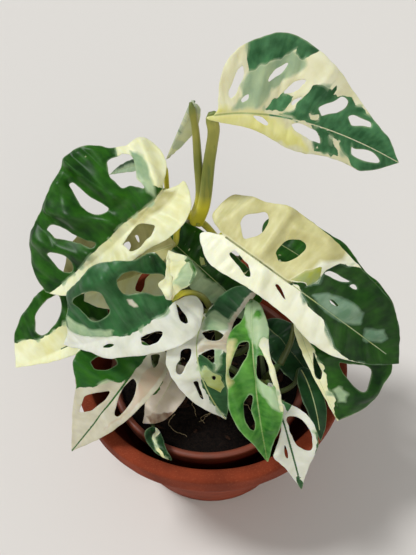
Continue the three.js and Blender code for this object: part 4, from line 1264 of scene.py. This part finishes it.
            ((31, 2), (29, 5), (28, 9), (38, 8), (34, 5)),
            ((33, -9), (28, -8), (27, -3), (31, -3), (36, -6), (40, -10), (39, -12), (35, -11)),
            ((46, -5), (46, -3), (52, -3), (57, -4), (55, -5)), ((46, 5), (47, 7), (49, 6), (48, 5)),
        ),
        zones=(
            (GREEN, ((-6, 0), (-16, -1), (-26, 0), (-35, 4), (-35, 9), (-28, 9), (-17, 12), (-3, 12), (-3, 4),
                (5, 1))),
            (MINT, ((14, 2), (5, 1), (-3, 3), (-5, 12), (-10, 13), (5, 15), (11, 9))),
            (TAN, ((20, 1), (20, 4), (22, 8), (20, 12), (10, 14), (-5, 13), (-12, 12), (-21, 11), (-28, 9),
                (-35, 9), (-35, 11), (-27, 13), (-18, 14), (-9, 16), (10, 18), (29, 18), (39, 15), (29, 14),
                (27, 9), (28, 5), (30, 1))),
            (GREEN, ((31, 1), (30, 5), (39, 8), (44, 8), (29, 14), (39, 17), (58, 13), (74, 1), (61, -1),
                (51, -2))),
            (MINT, ((28, 9), (28, 13), (38, 12), (43, 8), (38, 8))),
            (LIME, ((42, 0), (38, 4), (44, 7), (48, 10), (54, 9), (57, 6), (51, 1))),
        ),
        ribs=((LIME, 4, 72, 0.35),),
        ridges=((24, -10, 26, 2, 1.5, 3), (42, -10, 44, 0, 1.5, 3), (24, 4, 24, 15, 2, 3)), skin=COOL, torn=0.5,
    ),
    "leaf_low_left": Blade(
        midrib=((-34, -12, 125), (-49, -49, 133), (-77, -62, 96)), facing=(-0.1, -0.5, 0.85), fold=(5, 5),
        left=((-2, 5), (2, 11), (10, 16), (18, 17), (53, 11)),
        right=((0, 7), (10, 18), (22, 28), (32, 31), (41, 27), (47, 21), (55, 17)),
        holes=(
            ((31, -22), (24, -20), (20, -13), (22, -10), (28, -12), (33, -18)),
            ((50, -13), (47, -12), (42, -8), (38, -4), (43, -3), (47, -4), (54, -6), (58, -10), (57, -11)),
            ((24, 2), (25, 5), (31, 8), (36, 9), (42, 9), (46, 8), (46, 6), (40, 3), (34, 1), (27, 1)),
            ((6, 3), (3, 7), (9, 9), (13, 9), (10, 6)),
        ),
        zones=(
            (TAN, ((20, 5), (7, 9), (9, 14), (20, 14.5), (39, 12), (56, 7), (38, 10.5))),
            (GREEN, ((31, -40), (-3, -2), (3, 1), (12, 1), (23, 0), (30, -2), (34, -9), (42, -12), (46, -18),
                (52, -25))),
        ),
        ribs=((GREEN, 16, 80, 0.6),),
        ridges=((16, -4, 16, 14, 2, 4), (50, -2, 52, 10, 2, 4), (36, -10, 36, -28, 2, 4)), skin=PALE, torn=0.6,
    ),
    "leaf_far_left": Blade(
        midrib=((-60, 11, 116), (-85, -14, 122), (-116, -10, 100)), facing=(-0.2, -0.5, 0.8), fold=(5, 5),
        left=((4, 8), (34, 6)), right=((-4, 11), (1, 24), (12, 32), (24, 37), (48, 29), (57, 22), (63, 13)),
        holes=(
            ((42, -23), (34, -28), (27, -30), (20, -30), (21, -24), (27, -17), (35, -13), (42, -12), (45, -16)),
        ),
        zones=(
            (GREEN, ((66, -14), (60, -14), (47, -12), (37, -10), (24, -13), (11, -10), (-2, 1), (-9, -12),
                (-1, -33), (23, -43), (48, -39), (68, -23))),
        ),
        ribs=((GREEN, 6, 34, 0.4),), ridges=((16, -14, 16, -32, 3, 4), (48, -8, 50, -26, 2, 4)),
    ),
    "leaf_young_rolled": Blade(
        midrib=((-8, 36, 256), (-14, 40, 239), (-26, 71, 190)), facing=(0.3, 0.6, -0.7), fold=(50, 50),
        roll=(60, 60), left=((4, 2.5), (12, 5), (34, 7), (48, 5.5)),
        right=((4, 2.5), (12, 5), (34, 7), (48, 5.5)),
        zones=(
            (MINT, ((-4, -9), (60, -9), (60, 9), (-4, 9))), (CREAM, ((12, -9), (50, -9), (50, -1), (16, 1))),
            (GREEN, ((-2, 1), (10, 1), (22, 4), (22, 9), (-2, 9))),
            (GREEN, ((34, 2), (40, 0), (42, 4), (37, 7))),
        ),
        skin=YOUNG, pucker=0.1,
    ),
    "leaf_old_drooping": Blade(
        midrib=((-19, -15, 112), (-23, -41, 120), (-39, -45, 96)), facing=(0, -0.6, 0.8),
        left=((3, 6), (12, 10), (19, 11), (32, 9), (39, 6)), right=((5, 5), (14, 10), (25, 10)),
        zones=(
            (GREEN, ((6, -9), (10, -4), (21, -4), (30, -7), (28, -14), (12, -14))),
            (TAN, ((40, -2), (32, 5), (30, 10), (35, 13), (42, 8))),
        ),
        ribs=((LIME, 0, 40, 0.3),), ridges=((34, -4, 36, 8, 2, 3),), skin=PINK,
    ),
    "leaf_withered": Blade(
        midrib=((-33, -47, 97), (-30, -62, 103), (-21, -68, 96)), facing=(0, -0.5, 0.8), left=((5, 3), (21, 2)),
        right=((3, 5), (16, 4)), base=GREEN,
        zones=((CREAM, ((0, 2), (3, 4), (13, 0), (20, -2), (27, -1), (23, -4), (15, -3), (6, -1))),),
        ridges=((6, -2, 20, 1, 2, 2.5),), skin=SHADED, slot="leaf_green",
    ),
    "leaf_inner_dark": Blade(
        midrib=((31, 18, 108), (45, -9, 122), (63, -30, 106)), facing=(0, -0.3, 0.9),
        left=((5, 7), (23, 13), (40, 12), (52, 6)), right=((11, 7), (26, 12), (41, 12), (54, 7)), base=GREEN,
        ribs=((LIME, 2, 56, 0.25),), ridges=((20, -8, 22, 10, 2, 4),), skin=SHADED, slot="leaf_green",
        flecks=0.4,
    ),
    "leaf_rim_dark": Blade(
        midrib=((50, -22, 119), (56, -43, 127), (59, -62, 108)), facing=(0.3, -0.5, 0.8),
        left=((2, 4), (12, 7), (38, 4)), right=((11, 6), (23, 7), (39, 3)), base=GREEN,
        ribs=((LIME, 2, 40, 0.25),), skin=SHADED, slot="leaf_green",
    ),
}


@dataclass(frozen=True)
class Stalk:
    """A leaf stalk: the points that it goes through, in mm, and its radius at each end."""

    route: Ring
    radii: tuple[float, float]


@dataclass(frozen=True)
class Stem:
    """A stem that stands in the soil, and the leaf stalks that grow from it, in mm."""

    foot: Point
    trunk: Ring
    radii: tuple[float, float]
    stalks: dict[str, Stalk]
    foot_height: float = 58
    soil_top: float = 87
    sides: int = 24
    step: float = 1.5
    groove: float = 0.16
    swelling: float = 0.12
    knee_place: float = 9
    knee_size: float = 5
    taper: float = 8

    def line(self, points: Sequence[Point], radii: tuple[float, float], knee: float) -> Surface:
        """Build one tapered tube with a soft swelling where it starts and at its knee.

        Args:
            points: The points it goes through.
            radii: Its radius at each end.
            knee: How much thicker the last few mm are, as a share.

        Returns:
            The closed tube.
        """
        path = even_line(smooth_line(points, 24), self.step)
        share = np.linspace(0, 1, len(path))
        left = (1 - share) * self.step * len(path)
        at_knee = np.exp(-(((left - self.knee_place) / self.knee_size) ** 2))
        at_start = np.exp(-((share * len(path) / self.knee_size) ** 2))
        radius = radii[0] + (radii[1] - radii[0]) * share
        radius *= 1 + knee * at_knee + self.swelling * at_start
        radius *= np.clip(0.15 + left / self.taper, 0, 1)
        return tube(path, radius, self.sides, self.groove)

    def surface(self) -> Surface:
        """Join the trunk with its stalks, each of which ends inside its leaf's midrib."""
        heights = (self.foot_height, self.soil_top - 5, self.soil_top + 4)
        made = self.line([*((*self.foot, height) for height in heights), *self.trunk], self.radii, 0)
        zero = np.zeros(1)
        for name, stalk in self.stalks.items():
            blade = LEAVES[name]
            base, normal = blade.spot(zero, zero)[0], blade.normal(zero, zero)[0]
            arrival = base - np.array(stalk.route[-1], float)
            arrival /= np.linalg.norm(arrival)
            slant = math.sqrt(max(0, 1 - float(arrival @ normal) ** 2))
            under = base - normal * (0.8 + stalk.radii[1] * slant)
            inside = blade.spot(zero + 5, zero)[0] - normal
            points = [*stalk.route, tuple(under), tuple(inside)]
            made = made.join(self.line(points, stalk.radii, self.swelling))
        return made


STEMS: dict[str, Stem] = {
    "stem_back": Stem(
        foot=(-13, 36),
        trunk=((-14, 48, 112), (-14, 59, 136), (-12, 59, 155), (-9, 50, 167), (-7, 36, 174)),
        radii=(4.2, 3.4),
        stalks={
            "leaf_crown": Stalk(
                ((-8, 42, 171), (-4, 35, 190), (-1, 34, 222), (0, 33, 231), (1, 32, 243)), (3.8, 2.6)
            ),
            "leaf_young_rolled": Stalk(
                ((-9, 44, 171), (-6, 38, 194), (-7, 38, 218), (-8, 37, 240)), (3.4, 1.6)
            ),
            "leaf_left_big": Stalk(((-12, 59, 155), (-18, 55, 169), (-25, 50, 182)), (2.4, 1.6)),
            "leaf_right_big": Stalk(((-11, 57, 160), (-3, 44, 165), (3, 31, 169), (5, 19, 182)), (2.2, 1.6)),
            "leaf_left_under": Stalk(((-9, 49, 167), (-15, 45, 171), (-19, 37, 170)), (2, 1.4)),
            "leaf_lower_cream": Stalk(((-14, 49, 114), (-21, 51, 126), (-25, 46, 137)), (2, 1.4)),
            "leaf_left_shade": Stalk(((-14, 50, 116), (-22, 66, 132), (-26, 74, 150)), (2, 1.4)),
            "leaf_right_back": Stalk(((-13, 45, 104), (10, 56, 114), (28, 60, 131)), (2, 1.4)),
            "leaf_back_center": Stalk(((-13, 38, 94), (6, 34, 94), (22, 27, 101)), (2, 1.4)),
        },
    ),
    "stem_front": Stem(
        foot=(6, -8),
        trunk=((6, -6, 105), (4, -2, 130), (2, 0, 140)),
        radii=(3, 2.4),
        stalks={
            "leaf_front_green": Stalk(((6, -6, 106), (19, -11, 120), (27, -7, 138), (24, -3, 147)), (2, 1.5)),
            "leaf_mid_white": Stalk(((4, -2, 128), (0, -4, 140), (-2, -6, 148)), (2, 1.5)),
            "leaf_left_front": Stalk(((3, -1, 134), (-8, -2, 148), (-18, -8, 159)), (2, 1.5)),
            "leaf_crumpled": Stalk(((2, 0, 138), (-5, 0, 155), (-15, -8, 168)), (2, 1.4)),
            "leaf_front_white": Stalk(((6, -6, 100), (20, -22, 108), (29, -38, 128)), (2, 1.4)),
        },
    ),
    "stem_left": Stem(
        foot=(-30, -14),
        trunk=((-31, -13, 100), (-32, -10, 112)),
        radii=(2.6, 2),
        stalks={
            "leaf_low_left": Stalk(((-32, -11, 108), (-33, -9, 116)), (1.9, 1.4)),
            "leaf_far_left": Stalk(((-31, -13, 100), (-46, 2, 104), (-58, 12, 109)), (1.9, 1.4)),
            "leaf_old_drooping": Stalk(((-31, -13, 98), (-24, -12, 103), (-19, -12, 107)), (1.7, 1.2)),
            "leaf_withered": Stalk(((-30, -14, 92), (-33, -30, 92), (-34, -42, 93)), (1.5, 1)),
        },
    ),
    "stem_right": Stem(
        foot=(32, -14),
        trunk=((34, -20, 108), (40, -20, 122)),
        radii=(2.6, 2),
        stalks={
            "leaf_right_low": Stalk(((39, -20, 119), (45, -11, 129), (47, -3, 133)), (1.9, 1.4)),
            "leaf_inner_dark": Stalk(((32, -14, 93), (31, 8, 94), (31, 18, 102)), (1.7, 1.2)),
            "leaf_rim_dark": Stalk(((32, -14, 98), (39, -30, 106), (47, -29, 113)), (1.7, 1.2)),
        },
    ),
}


@dataclass
class CoverPot:
    """The thick clay cover pot with its collar, in mm.

    A wave of its uneven wall is its height, its size along x and along y, and how it is squeezed upright. The waves
    fade out towards the middle and the foot, so that the pot stands flat.
    """

    height: float = 100
    rim: float = 82
    lip: float = 73.8
    base: float = 52
    collar: float = 15.5
    collar_step: float = 3
    floor: float = 6
    lip_round: float = 2
    waves: Ring = ((0.21, 24, 27, 1), (0.072, 5, 5, 3))
    calm_middle: float = 20
    calm_foot: float = 3
    grid: float = 1.8
    sides: int = 240

    def profile(self) -> Array:
        """Lay the profile's points, from the middle of the base up the outside and down the inside."""
        low = self.height - self.collar
        r, turn = self.lip_round, (0, 0.5, 1.0, 1.5)
        arc = [(r * math.sin(a), self.height - r + r * math.cos(a)) for a in turn]
        round_out = [(self.rim - r + across, up) for across, up in reversed(arc)]
        round_in = [(self.lip + r - across, up) for across, up in arc]
        body = self.rim - self.collar_step - 1
        points = [
            (0.5, 0), (self.base - 3, 0), (self.base - 0.8, 0.6), (self.base, 2),
            (body - 0.6, low - 1.2), (body - 0.2, low - 0.3), (body + 0.5, low),
            (self.rim - 2, low), (self.rim - 1.2, low + 0.5), (self.rim - 0.8, low + 1.5),
            *round_out, *round_in,
            (self.lip - 1.5, low), (self.base - 5, self.floor + 5), (self.base - 9, self.floor), (0.5, self.floor),
        ]
        return even_line(np.array(points, float), self.grid)

    def build(self) -> None:
        """Turn the pot, roughen it by hand and make it a piece."""
        made = lathe(self.profile(), self.sides, closed=False)
        x, y, z = made.corners.T
        push = np.zeros(len(x))
        for number, (high, wide_x, wide_y, squeeze) in enumerate(self.waves):
            seed = 2 * number + 3
            push += high * (soft_noise(x, z * squeeze, wide_x, seed) + soft_noise(y, z * squeeze, wide_y, seed + 1))
        calm = np.clip(np.hypot(x, y) / self.calm_middle, 0, 1) * np.clip(z / self.calm_foot, 0, 1)
        made.push_out(push * calm)
        made.piece("terracotta_cover_pot", FiredClay().material(), "terracotta", "cover_pot")


@dataclass
class NurseryPot:
    """The thin plastic growing pot with its rolled rim, in mm."""

    centre: Point = (-1, -4.5)
    floor: float = 6.3
    top: float = 93
    rim: float = 60
    base: float = 38
    wall: float = 1.6
    band: float = 9
    band_step: float = 2.4
    drain: float = 7
    warp: float = 0.35
    warp_height: float = 80
    grid: float = 1.2
    sides: int = 192

    def wall_radius(self, height: float) -> float:
        """Give the outer wall's radius at a height above the pot's own base."""
        return self.base + (self.rim - self.band_step - self.base) * height / (self.top - self.floor)

    def profile(self) -> Array:
        """Lay the closed profile from the drain hole up the outside and down the inside."""
        tall = self.top - self.floor
        low = tall - self.band
        inner = self.wall_radius(tall) - self.wall
        points = [
            (self.drain, 0), (self.base - 1, 0), (self.base, 1), (self.wall_radius(low), low),
            (self.rim - 1, low), (self.rim - 0.5, low + 0.6), (self.rim, tall - 1.2), (self.rim - 0.5, tall - 0.3),
            (self.rim - 1.2, tall), (inner + 1, tall), (inner + 0.3, tall - 0.3), (inner, tall - 1.2),
            (self.base - self.wall, self.wall), (self.drain, self.wall), (self.drain, 0),
        ]
        return even_line(np.array(points, float), self.grid)[:-1]

    def build(self) -> None:
        """Turn the pot, warp its rim a little and make it a piece."""
        made = lathe(self.profile(), self.sides, closed=True)
        x, y, z = made.corners.T
        made.push_out(self.warp * np.sin(3 * np.arctan2(y, x) + 1) * np.clip(z / self.warp_height, 0, 1))
        made.corners += np.array([*self.centre, self.floor])
        made.piece("plastic_nursery_pot", MouldedPlastic().material(), "nursery_pot", "nursery_pot")


@dataclass
class Soil:
    """The potting mix with its bark chips, crumbs and loose rootlets, in mm."""

    pot: NurseryPot
    top: float = 87
    rings: int = 130
    sides: int = 300
    gap: float = 0.3
    chips: int = 70
    chip_least: Point = (1.6, 0.9, 0.5)
    chip_most: Point = (6.5, 2.2, 1.2)
    chip_rough: Point = (0.75, 1.2)
    chip_tilt: float = 0.35
    chip_lie: float = 0.5
    chip_spread: float = 0.93
    rootlets: int = 30
    rootlet: Point = (0.26, 0.12)
    rootlet_steps: tuple[int, int] = (14, 34)
    rootlet_wander: float = 0.5
    rootlet_lift: float = 0.8
    rootlet_spread: float = 0.55
    mound: float = 1.4
    crumbs: Ring = ((7, 1.6), (3.2, 1.5), (1.5, 0.8))
    seed: int = 11

    def level(self, x: Array, y: Array) -> Array:
        """Work out the soil's height: low mounds, then crumbs of three sizes, flatter at the wall.

        Args:
            x: First coordinates from the pot's middle.
            y: Second coordinates.

        Returns:
            Heights in mm.
        """
        left = 1 - np.hypot(x, y) / self.reach()
        mound = np.sin(x * 0.21 + 1) * np.cos(y * 0.17) + 0.6 * np.sin(x * 0.09 - y * 0.13)
        crumbs = sum(
            high * np.abs(soft_noise(x, y, size, self.seed + i)) for i, (size, high) in enumerate(self.crumbs)
        )
        return self.top + self.mound * mound * np.clip(left, 0, 1) + (crumbs - 1.2) * np.clip(6 * left, 0.2, 1)

    def reach(self) -> float:
        """Give the soil's radius at its top."""
        return self.pot.wall_radius(self.top - self.pot.floor) - self.pot.wall - self.gap

    def ground(self) -> Surface:
        """Build the soil as one closed form: a wall that follows the pot under a crumbled top."""
        base = self.pot.wall_radius(0) - self.pot.wall - 1
        low = self.pot.floor + self.pot.wall + self.gap
        across = np.linspace(1, 0.004, self.rings)[:, None] * self.reach()
        walls = [(0.5, low), (base - 1, low), (base, low + 1), (self.reach(), self.top - 1.5)]
        profile = np.vstack([np.array(walls), np.hstack([across, np.full((self.rings, 1), self.top)])])
        made = lathe(profile, self.sides, closed=False)
        upper = made.corners[:, 2] > self.top - 0.5
        made.corners[upper, 2] = self.level(*made.corners[upper, :2].T)
        made.corners[:, :2] += np.array(self.pot.centre)
        return made

    def bark(self) -> Surface:
        """Scatter bark chips: one small turned lump, each time stretched, roughened, tilted and turned."""
        rng = np.random.default_rng(self.seed)
        lump = lathe(np.array([[0.6, -0.5], [1.0, -0.3], [1.0, 0.3], [0.65, 0.5]]), 9, closed=False)
        count = len(lump.corners)
        size = rng.uniform(self.chip_least, self.chip_most, (self.chips, 3))
        corners = lump.corners * size[:, None] * rng.uniform(*self.chip_rough, (self.chips, count, 1))
        turn, tilt = rng.uniform(0, TURN, self.chips), rng.normal(0, self.chip_tilt, self.chips)
        x, z = spin(corners[..., 0], corners[..., 2], tilt)
        x, y = spin(x, corners[..., 1], turn)
        away = self.reach() * self.chip_spread * np.sqrt(rng.uniform(0.01, 1, self.chips))
        place = rng.uniform(0, TURN, self.chips)
        middle = np.stack([away * np.cos(place), away * np.sin(place)], 1)
        height = z + (self.level(*middle.T) + self.chip_lie)[:, None]
        x, y = x + middle[:, :1] + self.pot.centre[0], y + middle[:, 1:] + self.pot.centre[1]
        placed = np.stack([x, y, height], -1)
        steps = (np.arange(self.chips) * count)[:, None, None]
        faces = [(face + steps).reshape(-1, face.shape[1]) for face in lump.faces]
        return Surface(placed.reshape(-1, 3), faces)

    def roots(self) -> Surface:
        """Lay thin curly rootlets: tubes whose heading wanders, low over the soil."""
        rng = np.random.default_rng(self.seed + 5)
        strands = []
        for _ in range(self.rootlets):
            count = int(rng.integers(*self.rootlet_steps))
            heading = np.cumsum(rng.normal(0, self.rootlet_wander, count)) + rng.uniform(0, TURN)
            start = rng.uniform(-self.rootlet_spread, self.rootlet_spread, 2) * self.reach()
            x = start[0] + np.cumsum(np.cos(heading))
            y = start[1] + np.cumsum(np.sin(heading))
            lift = np.abs(rng.normal(0, self.rootlet_lift))
            z = self.level(x, y) + 0.5 + lift * np.sin(np.linspace(0, math.pi, count))
            line = np.stack([x + self.pot.centre[0], y + self.pot.centre[1], z], 1)
            path = smooth_line(line, 3)
            strands.append(tube(path, np.linspace(*self.rootlet, len(path)), 6))
        return reduce(Surface.join, strands)

    def build(self) -> None:
        """Make the soil, its chips and its rootlets pieces."""
        mix = LooseGround("peat_potting_mix", "#060403", "#241811", 1.1)
        bark = LooseGround("composted_bark", "#1c100a", "#4d3120", 1.1, 0.8)
        root = LooseGround("dry_rootlet", "#8d7a5a", "#c9b991", 2.0, 0.7)
        self.ground().piece("potting_mix", mix.material(), "soil", "soil")
        self.bark().piece("bark_chips", bark.material(), "soil")
        self.roots().piece("loose_rootlets", root.material(), "soil")


@dataclass
class Plant:
    """All stems and leaves."""

    stems: dict[str, Stem]
    leaves: dict[str, Blade]

    def build(self) -> None:
        """Make each stem and each leaf a piece in the place of its node."""
        stalk = StalkSkin().material()
        for name, stem in self.stems.items():
            stem.surface().piece(f"{name}_stalks", stalk, "stems", name)
            LOG.info("stem %s with %d stalks", name, len(stem.stalks))
        skins = {blade.skin: blade.skin.material() for blade in self.leaves.values()}
        for number, (name, blade) in enumerate(self.leaves.items()):
            piece = blade.surface(100 * number + 17).piece(f"{name}_blade", skins[blade.skin], blade.slot, name)
            LOG.info("blade %s with %d faces", name, len(piece.data.polygons))


@dataclass(frozen=True)
class Lamp:
    """A distant soft light: its place in metres, its spread in radians and its watts on a square metre."""

    name: str
    place: Point
    spread: float
    power: float
    colour: str

    def build(self, aim: Point) -> None:
        """Hang the light so that it looks at a place.

        Args:
            aim: The place, in metres.
        """
        data = bpy.data.lights.new(self.name, "SUN")
        data.energy, data.color, data.angle = self.power, linear(self.colour)[:3], self.spread
        lamp = bpy.data.objects.new(self.name, data)
        bpy.context.scene.collection.objects.link(lamp)
        away = np.array(self.place) - np.array(aim)
        lamp.location = self.place
        lean = math.acos(away[2] / np.linalg.norm(away))
        lamp.rotation_euler = (lean, 0, math.atan2(away[1], away[0]) + TURN / 4)


@dataclass
class Studio:
    """The camera at the photograph's angle, the soft lights and the pale floor."""

    eye: Point = (-0.0017, -0.2368, 0.4534)
    pitch_deg: float = 40.0
    lens: float = 45.4
    aim: Point = (0, 0, 0.13)
    window: Lamp = Lamp("window_light", (-0.75, 0.15, 1.4), 0.25, 2.15, "#fbfcff")
    fill: Lamp = Lamp("front_fill", (0.3, -1.3, 1.0), 0.9, 0.85, "#fff8ee")
    sky_colour: str = "#e9edf2"
    sky_strength: float = 0.4
    backdrop: str = "#cfccc7"
    floor_colour: str = "#dcd8d1"
    floor_roughness: float = 0.8
    floor_half: float = 40.0

    def build(self) -> None:
        """Set the camera, the lights, the sky and the floor."""
        scene = bpy.context.scene
        camera = bpy.data.objects.new("camera", bpy.data.cameras.new("camera"))
        camera.data.lens = self.lens
        camera.location = self.eye
        camera.rotation_euler = (math.radians(self.pitch_deg), 0, 0)
        scene.collection.objects.link(camera)
        scene.camera = camera
        scene.view_settings.view_transform = "Standard"
        for lamp in (self.window, self.fill):
            lamp.build(self.aim)
        world = bpy.data.worlds.new("soft_sky")
        scene.world = world
        world.use_nodes = True
        sky = world.node_tree
        sky.nodes.clear()
        light = add_node(sky, "Background", (self.sky_colour, self.sky_strength))
        seen = add_node(sky, "Background", (self.backdrop,))
        mixed = add_node(sky, "MixShader", (add_node(sky, "LightPath"), light, seen))
        add_node(sky, "OutputWorld", (mixed,))
        half = self.floor_half
        mesh = bpy.data.meshes.new("floor")
        corners = [(-half, -half, 0), (half, -half, 0), (half, half, 0), (-half, half, 0)]
        mesh.from_pydata(corners, [], [(0, 1, 2, 3)])
        floor = bpy.data.objects.new("floor", mesh)
        scene.collection.objects.link(floor)
        material, tree = new_material("pale_floor")
        skin = {"Base Color": self.floor_colour, "Roughness": self.floor_roughness}
        add_node(tree, "OutputMaterial", (add_node(tree, "BsdfPrincipled", skin),))
        mesh.materials.append(material)


def main() -> None:
    """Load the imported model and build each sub-assembly in turn."""
    logging.basicConfig(level=logging.INFO, format="%(message)s")
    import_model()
    Studio().build()
    LOG.info("studio")
    CoverPot().build()
    LOG.info("cover pot")
    nursery = NurseryPot()
    nursery.build()
    LOG.info("nursery pot")
    Soil(nursery).build()
    LOG.info("soil, bark and rootlets")
    Plant(STEMS, LEAVES).build()


if __name__ == "__main__":
    main()
